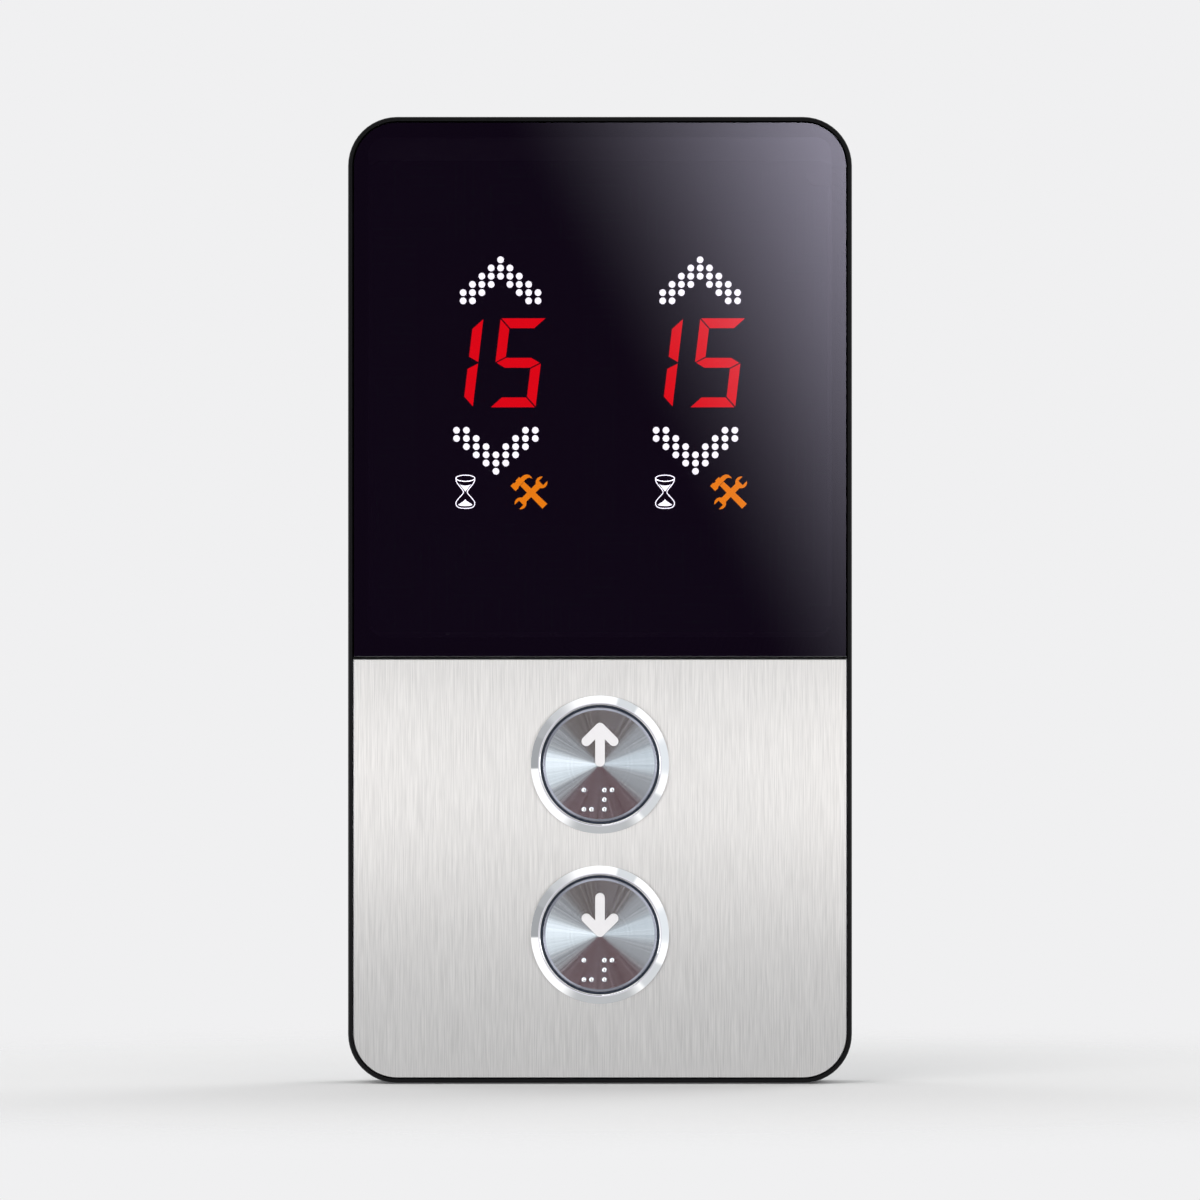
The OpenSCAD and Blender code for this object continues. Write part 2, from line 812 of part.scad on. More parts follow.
// Segments clockwise from the top, and the middle one last
segments = [
    level_segment,
    upright_segment,
    turned(upright_segment, 1, -1),
    turned(level_segment, 1, -1),
    turned(upright_segment, -1, -1),
    turned(upright_segment, -1, 1),
    middle_segment
];
function lit_in(place) = place == 0 ? tens_lit : units_lit;
function is_lit(place, i) = len([for (s = lit_in(place)) if (s == i) s]) > 0;

// The digits' segments that are lit, or those that are dark
module digit_segments(lit) {
    for (place = [0, 1])
        translate([digit_x - (1 - place) * digit_pitch, digit_y])
            for (i = [0:6])
                if (is_lit(place, i) == lit) polygon(leaning(segments[i]));
}

// Dots of an arrow head two dots thick; turn is 1 when it points up
module arrow_dots(place, column, turn, r) {
    for (row = [0:5], col = [-4:4])
        if (abs(col) <= row && abs(col) >= row - 2)
            translate([place[0] + col * column, place[1] + turn * (2.5 - row) * dot_row]) circle(r);
}

module symbol_outlines() {
    translate(waiting_place) rounded_rect(waiting_w, lens_h, lens_r);
    translate(service_place) rounded_rect(service_w, lens_h, lens_r);
}

module display_block(side) {
    color(chip_black) at_display(side) difference() {
        layer(block_back, block_front) translate([0, block_y]) rounded_rect(block_w, block_h, block_r);
        layer(well_floor, block_front + 1) {
            digit_segments(true);
            digit_segments(false);
            arrow_dots(up_place, up_column, 1, dot_d / 2 + dot_fit);
            arrow_dots(down_place, down_column, -1, dot_d / 2 + dot_fit);
            symbol_outlines();
        }
    }
}

module lit_segments(side) {
    color(lit_red) at_display(side) layer(well_floor, block_front) digit_segments(true);
}

module dark_segments(side) {
    color(unlit_grey) at_display(side) layer(well_floor, block_front) digit_segments(false);
}

module up_dots(side) {
    color(lit_white) at_display(side) layer(well_floor, block_front)
        arrow_dots(up_place, up_column, 1, dot_d / 2);
}

module down_dots(side) {
    color(lit_white) at_display(side) layer(well_floor, block_front)
        arrow_dots(down_place, down_column, -1, dot_d / 2);
}

module symbol_lenses(side) {
    color(unlit_grey) at_display(side) layer(well_floor, block_front) symbol_outlines();
}

// Buttons

module bezel(which) {
    cone_in = bezel_in + 2 * bezel_lip_r - 0.1;
    groove = bezel_out - bezel_land;
    color(chrome) at_button(which) {
        rotate_extrude() {
            polygon([[bezel_in, -sleeve_l], [sleeve_out, -sleeve_l], [sleeve_out, gasket_t],
                [groove, gasket_t], [groove, 0], [bezel_out, 0], [bezel_out, bezel_edge],
                [cone_in, bezel_proud], [bezel_in + bezel_lip_r, bezel_proud],
                [bezel_in, bezel_proud - bezel_lip_r]]);
            translate([bezel_in + bezel_lip_r, bezel_proud - bezel_lip_r]) circle(bezel_lip_r);
        }
        translate([-key_w / 2, -sleeve_out - key_t, -plate_t]) cube([key_w, key_t + 0.3, plate_t]);
    }
}

module bezel_gasket(which) {
    ring_l = sleeve_out + sleeve_fit;
    ring_h = bezel_out - bezel_land - sleeve_fit;
    color(foam_black) at_button(which) rotate_extrude()
        translate([ring_l, 0]) square([ring_h - ring_l, gasket_t]);
}

module clamp_nut(which) {
    color(galvanised) at_button(which) difference() {
        rotate_extrude() translate([0, -plate_t - nut_t])
            polygon([[nut_in, 0], [nut_out - nut_chamfer, 0], [nut_out, nut_chamfer],
                [nut_out, nut_t], [nut_in, nut_t]]);
        for (i = [0:nut_notches - 1])
            rotate(360 * (i + 0.5) / nut_notches)
                translate([nut_out - notch_t, -notch_w / 2, -plate_t - nut_t - 1])
                    cube([notch_t + 1, notch_w, nut_t + 2]);
    }
}

module light_ring(which) {
    foot = deck_top + foot_t;
    color(navy_ring) at_button(which) rotate_extrude()
        polygon([[foot_in, deck_top], [ring_out, deck_top], [ring_out, ring_proud],
            [ring_in, ring_proud], [ring_in, foot], [foot_in, foot]]);
}

module button_body(which) {
    color(black_plastic) at_button(which) difference() {
        union() {
            rotate_extrude() polygon([[bezel_in, body_back], [body_out - body_chamfer, body_back],
                [body_out, body_back + body_chamfer], [body_out, body_front], [body_in, body_front],
                [body_in, -sleeve_l], [bezel_in, -sleeve_l], [bezel_in, deck_top],
                [0, deck_top], [0, deck_back], [bezel_in, deck_back]]);
            rotate_extrude() translate([seat_in, deck_top - overlap])
                square([seat_wall, seat_t + overlap]);
            for (sx = [-1, 1])
                translate([sx * post_x, 0, led_front]) cylinder(r = post_r, h = post_l);
            for (i = [0:grips - 1])
                rotate(360 * (i + 0.5) / grips)
                    translate([body_out - body_wall / 2, -grip_w / 2, body_back + grip_start])
                        cube([body_wall / 2 + grip_t, grip_w,
                            body_front - body_back - grip_start - body_chamfer]);
        }
        for (sx = [-1, 1])
            translate([sx * post_x, 0, led_front - 1])
                cylinder(r = screw_r + thread_fit, h = screw_l - led_board_t + 1.2);
        for (i = [0:led_count - 1])
            rotate(360 * (i + 0.5) / led_count) translate([led_ring_r, 0, deck_back - 1])
                cylinder(r = led_window_r, h = deck_t + 2);
        translate([-switch_w / 2 - switch_gap, -switch_w / 2 - switch_gap, deck_back - 1])
            cube([switch_w + 2 * switch_gap, switch_w + 2 * switch_gap, deck_t + 2]);
        for (turn = [90, 270])
            rotate(turn) translate([hook_in - hook_fit, -hook_w / 2 - hook_fit, deck_back - 1])
                cube([hook_t + hook_barb + 2 * hook_fit, hook_w + 2 * hook_fit, deck_t + 2]);
        translate([-lead_notch[0] / 2, -body_out - 1, body_back - 1])
            cube([lead_notch[0], lead_notch[1], lead_notch[2] + 1]);
    }
}

// Rounded strokes of the arrow; widen adds clearance all round
module stroke(from, to, r) {
    run = to - from;
    translate(from) circle(r);
    translate(to) circle(r);
    translate(from) rotate(atan2(run[1], run[0])) translate([0, -r]) square([norm(run), 2 * r]);
}

module arrow_outline(which, widen) {
    r = arrow_stroke / 2 + widen;
    half = (arrow_l - arrow_stroke) / 2;
    translate([0, arrow_y]) mirror([0, which == 0 ? 0 : 1]) {
        stroke([0, -half], [0, half], r);
        for (sx = [-1, 1])
            stroke([sx * arrow_reach, half - arrow_reach], [0, half], r);
    }
}

// Centres of the touch dots of the two letters
letter_dots = [
    [[0, 0], [0, 2], [1, 2]],
    [[0, 0], [1, 0], [0, 1], [0, 2]]
];
touch_centres = [
    for (letter = [0, 1])
        for (dot = letter_dots[letter])
            touch_place + [letter * touch_letter + dot[0] * touch_column, -dot[1] * touch_row]
];

module cap(which) {
    color(turned_metal) at_button(which) difference() {
        rotate_extrude() polygon([[0, carrier_top], [cap_r - cap_back_bevel, carrier_top],
            [cap_r, carrier_top + cap_back_bevel], [cap_r, cap_proud - cap_bevel_t],
            [cap_r - cap_bevel_w, cap_proud], [0, cap_proud]]);
        layer(carrier_top - 1, cap_proud + 1) {
            arrow_outline(which, dot_fit);
            for (p = touch_centres)
                translate(p) circle(touch_d / 2 + dot_fit);
        }
    }
}

module arrow(which) {
    color(lit_white) at_button(which) layer(carrier_top, cap_proud + arrow_proud)
        arrow_outline(which, 0);
}

module touch_dots(which) {
    r = touch_d / 2;
    dome_r = (r * r + touch_proud * touch_proud) / (2 * touch_proud);
    color(turned_metal) at_button(which)
        for (p = touch_centres)
            translate(p) rotate_extrude() {
                translate([0, carrier_top]) square([r, cap_t]);
                intersection() {
                    translate([0, cap_proud + touch_proud - dome_r]) circle(dome_r);
                    translate([0, cap_proud - overlap]) square([r, touch_proud + overlap]);
                }
            }
}

module cap_carrier(which) {
    color(black_plastic) at_button(which) {
        rotate_extrude() polygon([[0, stem_back], [stem_r, stem_back], [stem_r, web_back],
            [carrier_r - skirt_wall, web_back], [carrier_r - skirt_wall, skirt_back],
            [carrier_r, skirt_back], [carrier_r, carrier_top], [0, carrier_top]]);
        rotate_extrude() translate([seat_in, web_back - seat_t])
            square([seat_wall, seat_t + overlap]);
        for (turn = [0:60:300])
            rotate(turn + 30)
                translate([seat_in + seat_wall / 2, -carrier_rib[0] / 2, web_back - carrier_rib[1]])
                    cube([carrier_r - skirt_wall / 2 - seat_in - seat_wall / 2, carrier_rib[0],
                        carrier_rib[1] + overlap]);
        for (turn = [90, 270])
            rotate(turn) hook();
    }
}

// Spring leg whose barb catches under the body's deck
module hook() {
    barb = deck_back - 0.1;
    translate([hook_in, hook_w / 2, 0]) rotate([90, 0, 0]) linear_extrude(hook_w)
        polygon([[0, web_back + overlap], [hook_t, web_back + overlap], [hook_t, barb],
            [hook_t + hook_barb, barb], [hook_t, hook_back], [0, hook_back]]);
}

// Spring of round wire whose end turns lie flat
spring_low = deck_top;
spring_high = web_back;
flat_turns = 0.6;
wire_sides = 8;
turn_steps = 20;
spring_steps = ceil(spring_turns * turn_steps);

function coil_z(u) =
    spring_low + wire_d / 2 + (spring_high - spring_low - wire_d)
    * min(1, max(0, (u - flat_turns) / (spring_turns - 2 * flat_turns)));

function wire_point(step, side) =
    let (u = spring_turns * step / spring_steps, a = 360 * u, b = 360 * side / wire_sides,
        r = spring_r + wire_d / 2 * cos(b))
    [r * cos(a), r * sin(a), coil_z(u) + wire_d / 2 * sin(b)];

module return_spring(which) {
    last = spring_steps * wire_sides;
    color(steel_wire) at_button(which) polyhedron(
        points = [for (i = [0:spring_steps], k = [0:wire_sides - 1]) wire_point(i, k)],
        faces = [
            [for (k = [0:wire_sides - 1]) k],
            [for (k = [wire_sides - 1:-1:0]) last + k],
            for (i = [0:spring_steps - 1], k = [0:wire_sides - 1])
                let (a = i * wire_sides + k, b = i * wire_sides + (k + 1) % wire_sides)
                [a, a + wire_sides, b + wire_sides, b]
        ]);
}

module switch(which) {
    color(chip_black) at_button(which) difference() {
        translate([-switch_w / 2, -switch_w / 2, led_front]) cube([switch_w, switch_w, switch_t]);
        translate([0, 0, plunger_floor]) cylinder(r = plunger_r + plunger_fit, h = switch_t);
    }
}

module switch_plunger(which) {
    color(lit_red) at_button(which) rotate_extrude()
        polygon([[0, plunger_back], [plunger_r, plunger_back], [plunger_r, plunger_top - plunger_chamfer],
            [plunger_r - plunger_chamfer, plunger_top], [0, plunger_top]]);
}

module led_board(which) {
    color(board_green) at_button(which) layer(led_board_back, led_front) difference() {
        circle(led_board_r);
        for (sx = [-1, 1])
            translate([sx * post_x, 0]) circle(screw_r + hole_fit);
        for (turn = [90, 270])
            rotate(turn) translate([hook_in - 2 * hook_fit, -hook_w / 2 - 2 * hook_fit])
                square([led_board_r, hook_w + 4 * hook_fit]);
    }
}

module leds(which) {
    color(lit_white) at_button(which)
        for (i = [0:led_count - 1])
            rotate(360 * (i + 0.5) / led_count)
                translate([led_ring_r, 0, led_front + led_size[2] / 2])
                    cube(led_size, center = true);
}

module body_screws(which) {
    color(chrome) at_button(which)
        for (sx = [-1, 1])
            translate([sx * post_x, 0, led_board_back]) difference() {
                union() {
                    translate([0, 0, -screw_head_t]) cylinder(r = screw_head_r, h = screw_head_t);
                    translate([0, 0, -overlap]) cylinder(r = screw_r, h = screw_l + overlap);
                }
                translate([0, 0, -screw_head_t - 1]) cross_recess(screw_head_r, 1.7);
            }
}

module socket(which) {
    size = socket_size;
    color(socket_cream) at_button(which) difference() {
        translate([-size[0] / 2, socket_y - size[1] / 2, led_board_back - size[2]]) cube(size);
        translate([socket_wall - size[0] / 2, socket_y - size[1] / 2 - 1,
            led_board_back - size[2] + socket_wall])
            cube([size[0] - 2 * socket_wall, size[1] - 0.5, size[2] - 2 * socket_wall]);
    }
}

wall_plate();
earth_stud();
front_frame();
display_window();
window_tape();
face_plate();
plate_gasket();
plate_nuts();
display_board();
controller_chips();
board_sockets();
board_screws();
lock_screws();
display_block(-1);  // left_display_block
lit_segments(-1);  // left_lit_segments
dark_segments(-1);  // left_dark_segments
up_dots(-1);  // left_up_dots
down_dots(-1);  // left_down_dots
symbol_lenses(-1);  // left_symbol_lenses
display_block(1);  // right_display_block
lit_segments(1);  // right_lit_segments
dark_segments(1);  // right_dark_segments
up_dots(1);  // right_up_dots
down_dots(1);  // right_down_dots
symbol_lenses(1);  // right_symbol_lenses
bezel(0);  // up_bezel
bezel_gasket(0);  // up_bezel_gasket
clamp_nut(0);  // up_clamp_nut
light_ring(0);  // up_light_ring
button_body(0);  // up_button_body
cap(0);  // up_cap
arrow(0);  // up_arrow
touch_dots(0);  // up_touch_dots
cap_carrier(0);  // up_cap_carrier
return_spring(0);  // up_return_spring
switch(0);  // up_switch
switch_plunger(0);  // up_switch_plunger
led_board(0);  // up_led_board
leds(0);  // up_leds
body_screws(0);  // up_body_screws
socket(0);  // up_socket
bezel(1);  // down_bezel
bezel_gasket(1);  // down_bezel_gasket
clamp_nut(1);  // down_clamp_nut
light_ring(1);  // down_light_ring
button_body(1);  // down_button_body
cap(1);  // down_cap
arrow(1);  // down_arrow
touch_dots(1);  // down_touch_dots
cap_carrier(1);  // down_cap_carrier
return_spring(1);  // down_return_spring
switch(1);  // down_switch
switch_plunger(1);  // down_switch_plunger
led_board(1);  // down_led_board
leds(1);  // down_leds
body_screws(1);  // down_body_screws
socket(1);  // down_socket
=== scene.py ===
"""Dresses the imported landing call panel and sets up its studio.

The panel's back lies in the plane y = 0, its front looks along -Y and +Z is up.
Lengths are in metres where a name or a docstring doesn't say millimetres.
"""
import json
import logging
import math
from collections.abc import Callable, Iterable
from dataclasses import dataclass, replace
from enum import Enum
from typing import Any

import bpy
from bpy.types import ID, Material, Node, NodeSocket, NodeTree, Object, bpy_prop_collection
from mathutils import Matrix, Vector


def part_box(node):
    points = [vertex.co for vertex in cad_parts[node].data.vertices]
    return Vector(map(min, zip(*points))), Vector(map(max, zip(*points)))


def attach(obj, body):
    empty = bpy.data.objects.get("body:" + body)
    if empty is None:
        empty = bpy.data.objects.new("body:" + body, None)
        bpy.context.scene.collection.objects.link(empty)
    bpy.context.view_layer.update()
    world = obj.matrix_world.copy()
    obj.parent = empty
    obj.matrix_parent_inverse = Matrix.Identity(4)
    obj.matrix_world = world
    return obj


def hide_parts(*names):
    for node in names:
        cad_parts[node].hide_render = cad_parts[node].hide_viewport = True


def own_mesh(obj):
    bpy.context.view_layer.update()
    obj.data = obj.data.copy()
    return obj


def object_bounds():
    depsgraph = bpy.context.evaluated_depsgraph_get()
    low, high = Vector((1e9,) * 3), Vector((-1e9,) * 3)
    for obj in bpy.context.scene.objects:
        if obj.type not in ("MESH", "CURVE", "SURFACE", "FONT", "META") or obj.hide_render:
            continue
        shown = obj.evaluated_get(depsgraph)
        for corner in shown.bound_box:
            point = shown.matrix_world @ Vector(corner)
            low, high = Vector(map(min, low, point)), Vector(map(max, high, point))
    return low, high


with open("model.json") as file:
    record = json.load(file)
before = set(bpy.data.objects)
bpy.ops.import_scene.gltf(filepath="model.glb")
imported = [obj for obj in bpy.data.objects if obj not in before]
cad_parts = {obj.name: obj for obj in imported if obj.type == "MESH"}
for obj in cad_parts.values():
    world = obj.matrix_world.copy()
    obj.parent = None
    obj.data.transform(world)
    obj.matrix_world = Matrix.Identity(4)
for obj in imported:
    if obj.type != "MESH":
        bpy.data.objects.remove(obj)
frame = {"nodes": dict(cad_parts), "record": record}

# Box of the CAD model, taken before anything is added
CAD_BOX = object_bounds()
MM = 0.001
Colour = tuple[float, float, float, float]
Point = tuple[float, float]
Triple = tuple[float, float, float]
Source = Node | NodeSocket

log = logging.getLogger("landing_panel")


def linear(hex_colour: str, level: float = 1.0) -> Colour:
    """Turns an sRGB hex colour to linear light.

    Args:
        hex_colour: Colour such as "#1a1a1c".
        level: Brightness that it is brought to.

    Returns:
        Red, green, blue and an alpha of 1.
    """
    parts = [int(hex_colour[i:i + 2], 16) / 255 for i in (1, 3, 5)]
    light = [p / 12.92 if p <= 0.04045 else ((p + 0.055) / 1.055) ** 2.4 for p in parts]
    red, green, blue = (level * part for part in light)
    return red, green, blue, 1.0


def find_socket(sockets: bpy_prop_collection, key: str | int | None = None) -> NodeSocket:
    """Finds a socket of a node.

    Args:
        sockets: The node's inputs or its outputs.
        key: The socket's number or name, or None for the first one.

    Returns:
        The socket; by name or by None it is the first that the node's settings leave in use.
    """
    if isinstance(key, int):
        return sockets[key]
    return next(found for found in sockets if found.enabled and key in (None, found.name))


def add_node(tree: NodeTree, kind: str, inputs: dict[str | int, Any] | None = None,
             feeds: NodeSocket | None = None, **settings: Any) -> Node:
    """Adds a node with its settings and its links.

    Args:
        tree: Node tree that gets the node.
        kind: Blender's name for the node's type.
        inputs: For each input, by name or number, its value or the node or socket that feeds it.
        feeds: Socket that the node's first output feeds.
        **settings: Properties of the node itself.

    Returns:
        The new node.
    """
    node = tree.nodes.new(kind)
    for name, value in settings.items():
        setattr(node, name, value)
    for key, value in (inputs or {}).items():
        if isinstance(value, Source):
            source = find_socket(value.outputs) if isinstance(value, Node) else value
            tree.links.new(source, find_socket(node.inputs, key))
        else:
            find_socket(node.inputs, key).default_value = value
    if feeds:
        tree.links.new(find_socket(node.outputs), feeds)
    return node


# Finishes


@dataclass(frozen=True)
class Finish:
    """A surface finish: base colour, a second tone, gloss, and the size of its pattern.

    Attributes:
        name: Name of the material.
        colour: Main colour as sRGB hex.
        tone: Second colour that the pattern mixes in.
        roughness: Lowest and highest roughness that the pattern gives.
        grain_mm: Size of the pattern, the same all ways or along X, Y and Z.
        relief_mm: Height of the pattern.
        metallic: 1 for bare metal, 0 for anything else.
        ior: Index of refraction, left alone on metal.
        centre: Point that the pattern is centred on.
    """
    name: str
    colour: str
    tone: str
    roughness: Point
    grain_mm: float | Triple
    relief_mm: float = 0.0
    metallic: float = 0.0
    ior: float = 1.5
    centre: Triple = (0.0, 0.0, 0.0)

    def make(self) -> Material:
        """Builds the material.

        Returns:
            The new material.
        """
        material = bpy.data.materials.new(self.name)
        material.use_nodes = True
        material.diffuse_color = linear(self.colour)
        shader = material.node_tree.nodes["Principled BSDF"]
        shader.inputs["Metallic"].default_value = self.metallic
        if not self.metallic:
            shader.inputs["IOR"].default_value = self.ior
        self.dress(material.node_tree, shader)
        return material

    def dress(self, tree: NodeTree, shader: Node) -> None:
        """Gives the surface fine noise, as moulded plastic and plating have.

        Args:
            tree: The material's tree.
            shader: Its shader.
        """
        noise = add_node(tree, "ShaderNodeTexNoise", {"Vector": self.place(tree, self.grain_mm),
                                                      "Scale": 1.0, "Detail": 3.0, "Roughness": 0.6})
        self.paint(tree, shader, noise)
        if self.relief_mm:
            self.emboss(tree, shader, noise)

    def place(self, tree: NodeTree, grain_mm: float | Triple) -> Node:
        """Lays out coordinates that grow by one for each grain of a pattern.

        Args:
            tree: The material's tree.
            grain_mm: Size of the grain, the same all ways or along X, Y and Z.

        Returns:
            The node that gives the coordinates.
        """
        grain = grain_mm if isinstance(grain_mm, tuple) else (grain_mm,) * 3
        spot = add_node(tree, "ShaderNodeTexCoord").outputs["Object"]
        return add_node(tree, "ShaderNodeMapping", {"Vector": spot, "Location": self.centre,
                                                    "Scale": [side * MM for side in grain]},
                        vector_type="TEXTURE")

    def paint(self, tree: NodeTree, shader: Node, pattern: Source) -> None:
        """Mixes the two colours and the two gloss levels.

        Args:
            tree: The material's tree.
            shader: Its shader.
            pattern: Where the second colour and the higher roughness show, from 0 to 1.
        """
        add_node(tree, "ShaderNodeMix", {"Factor": pattern, "A": linear(self.colour),
                                         "B": linear(self.tone)},
                 shader.inputs["Base Color"], data_type="RGBA")
        smooth, rough = self.roughness
        if smooth == rough:
            shader.inputs["Roughness"].default_value = rough
        else:
            add_node(tree, "ShaderNodeMapRange", {"Value": pattern, "To Min": smooth, "To Max": rough},
                     shader.inputs["Roughness"])

    def emboss(self, tree: NodeTree, shader: Node, pattern: Source) -> None:
        """Raises the surface.

        Args:
            tree: The material's tree.
            shader: Its shader.
            pattern: Height from 0 to 1, as a share of the finish's relief.
        """
        add_node(tree, "ShaderNodeBump", {"Height": pattern, "Strength": 1.0,
                                          "Distance": self.relief_mm * MM}, shader.inputs["Normal"])


@dataclass(frozen=True)
class LinedSteel(Finish):
    """Steel with fine lines cut into its face, and a highlight painted on its edges.

    Attributes:
        anisotropy: How far the lines stretch reflections.
        contrast: Part of the noise's range that the pattern stretches from 0 to 1.
        second_share: Share of the second noise in the pattern.
        edge: Colour painted on the edges, which face neither front nor back, as their highlight.
        edge_highlight_limits: How far along Y the surface faces where the edge ends and the face begins.
    """
    anisotropy: float = 0.9
    contrast: Point = (0.37, 0.63)
    second_share: float = 0.06
    # A white highlight painted on the edges
    edge: str = "#ffffff"
    edge_highlight_limits: Point = (0.9, 0.99)

    def cut(self, tree: NodeTree, shader: Node, first: Node, second: Node) -> Node:
        """Mixes two noises to lines, finishes the face by them and paints a highlight on the edges.

        Args:
            tree: The material's tree.
            shader: Its shader.
            first: Noise that shows most.
            second: Noise that shows a little.

        Returns:
            The node that gives the lines.
        """
        both = add_node(tree, "ShaderNodeMix", {"Factor": self.second_share, "A": first, "B": second},
                        data_type="FLOAT")
        lines = add_node(tree, "ShaderNodeMapRange", {"Value": both, "From Min": self.contrast[0],
                                                      "From Max": self.contrast[1]})
        self.paint(tree, shader, lines)
        self.paint_edge_highlight(tree, shader)
        shader.inputs["Anisotropic"].default_value = self.anisotropy
        return lines

    def paint_edge_highlight(self, tree: NodeTree, shader: Node) -> None:
        """Paints the edges' highlight over the colour of the face.

        Args:
            tree: The material's tree.
            shader: Its shader, already painted.
        """
        # Edges that face sideways get the painted highlight in place of the face's colour
        normal = add_node(tree, "ShaderNodeNewGeometry").outputs["True Normal"]
        axes = add_node(tree, "ShaderNodeSeparateXYZ", {"Vector": normal})
        forwards = add_node(tree, "ShaderNodeMath", {0: axes.outputs["Y"]}, operation="ABSOLUTE")
        share = add_node(tree, "ShaderNodeMapRange", {"Value": forwards, "From Min": self.edge_highlight_limits[0],
                                                      "From Max": self.edge_highlight_limits[1]})
        face = shader.inputs["Base Color"].links[0].from_socket
        add_node(tree, "ShaderNodeMix", {"Factor": share, "A": linear(self.edge), "B": face},
                 shader.inputs["Base Color"], data_type="RGBA")


@dataclass(frozen=True)
class BrushedSheet(LinedSteel):
    """Stainless sheet ground with a belt, so that fine upright lines catch the light.

    Attributes:
        band_mm: Size of the faint bands along X, Y and Z.
    """
    band_mm: Triple = (2.2, 5.0, 90.0)

    def dress(self, tree: NodeTree, shader: Node) -> None:
        """Lays short bright scratches over long faint bands.

        Args:
            tree: The material's tree.
            shader: Its shader.
        """
        scratches = add_node(tree, "ShaderNodeTexNoise", {"Vector": self.place(tree, self.grain_mm),
                                                          "Scale": 1.0, "Detail": 2.0, "Roughness": 0.8})
        bands = add_node(tree, "ShaderNodeTexNoise", {"Vector": self.place(tree, self.band_mm),
                                                      "Scale": 1.0, "Detail": 2.0})
        self.emboss(tree, shader, self.cut(tree, shader, scratches, bands))
        # The fine grooves tilt the surface sideways, so light spreads across them
        add_node(tree, "ShaderNodeCombineXYZ", {"X": 1.0}, shader.inputs["Tangent"])


@dataclass(frozen=True)
class TurnedFace(LinedSteel):
    """Steel faced on a lathe: rings round the centre that spread the light into a fan.

    Attributes:
        crown: Slope of the face away from its centre, as a turned cap is slightly crowned.
        glint_spokes: Faint radial streaks in each radian, painted glints of the turned face.
    """
    anisotropy: float = 1.0
    contrast: Point = (0.3, 0.7)
    second_share: float = 0.22
    # A lavender-grey highlight painted on the cap's rim
    edge: str = "#b6b8c4"
    crown: float = 0.15
    glint_spokes: float = 14.0

    def dress(self, tree: NodeTree, shader: Node) -> None:
        """Paints glint streaks by angle, draws rings by radius, and turns the gloss with them.

        Args:
            tree: The material's tree.
            shader: Its shader.
        """
        spot = add_node(tree, "ShaderNodeTexCoord").outputs["Object"]
        offset = add_node(tree, "ShaderNodeVectorMath", {0: spot, 1: self.centre}, operation="SUBTRACT")
        radial = add_node(tree, "ShaderNodeVectorMath", {0: offset, 1: (1, 0, 1)}, operation="MULTIPLY")
        radius = add_node(tree, "ShaderNodeVectorMath", {0: radial}, operation="LENGTH")
        rings = add_node(tree, "ShaderNodeTexNoise", {"W": radius, "Scale": 1 / (self.grain_mm * MM),
                                                      "Detail": 2.0}, noise_dimensions="1D")
        axes = add_node(tree, "ShaderNodeSeparateXYZ", {"Vector": radial})
        angle = add_node(tree, "ShaderNodeMath", {0: axes.outputs["Z"], 1: axes.outputs["X"]},
                         operation="ARCTAN2")
        # Streaks by angle: painted glints, in the base colour and the gloss
        fan = add_node(tree, "ShaderNodeTexNoise", {"W": angle, "Scale": self.glint_spokes, "Detail": 3.0,
                                                    "Roughness": 0.7}, noise_dimensions="1D")
        self.cut(tree, shader, fan, rings)
        outward = add_node(tree, "ShaderNodeVectorMath", {0: radial}, operation="NORMALIZE")
        flat = add_node(tree, "ShaderNodeNewGeometry").outputs["True Normal"]
        leaning = add_node(tree, "ShaderNodeVectorMath", {0: outward, 1: (self.crown,) * 3, 2: flat},
                           operation="MULTIPLY_ADD")
        add_node(tree, "ShaderNodeVectorMath", {0: leaning}, shader.inputs["Normal"],
                 operation="NORMALIZE")
        tree.links.new(radial.outputs["Vector"], shader.inputs["Tangent"])


@dataclass(frozen=True)
class ZincSpangle(Finish):
    """Hot-dip galvanised sheet: flat crystals of zinc, each with its own tone.

    Attributes:
        cloud_share: How far clouds cover the crystals.
    """
    cloud_share: float = 0.4

    def dress(self, tree: NodeTree, shader: Node) -> None:
        """Gives each crystal its tone and gloss and clouds them a little.

        Args:
            tree: The material's tree.
            shader: Its shader.
        """
        place = self.place(tree, self.grain_mm)
        crystals = add_node(tree, "ShaderNodeTexVoronoi", {"Vector": place, "Scale": 1.0})
        tone = add_node(tree, "ShaderNodeSeparateColor", {"Color": crystals.outputs["Color"]})
        cloud = add_node(tree, "ShaderNodeTexNoise", {"Vector": place, "Scale": 3.0, "Detail": 4.0})
        both = add_node(tree, "ShaderNodeMix", {"Factor": self.cloud_share, "A": tone, "B": cloud},
                        data_type="FLOAT")
        self.paint(tree, shader, both)
        self.emboss(tree, shader, cloud)


@dataclass(frozen=True)
class ClosedFoam(Finish):
    """Closed-cell foam: small round cells that leave the cut edge pitted."""

    def dress(self, tree: NodeTree, shader: Node) -> None:
        """Sinks each cell into the surface.

        Args:
            tree: The material's tree.
            shader: Its shader.
        """
        place = self.place(tree, self.grain_mm)
        cells = add_node(tree, "ShaderNodeTexVoronoi", {"Vector": place, "Scale": 1.0})
        self.paint(tree, shader, cells.outputs["Distance"])
        self.emboss(tree, shader, cells.outputs["Distance"])


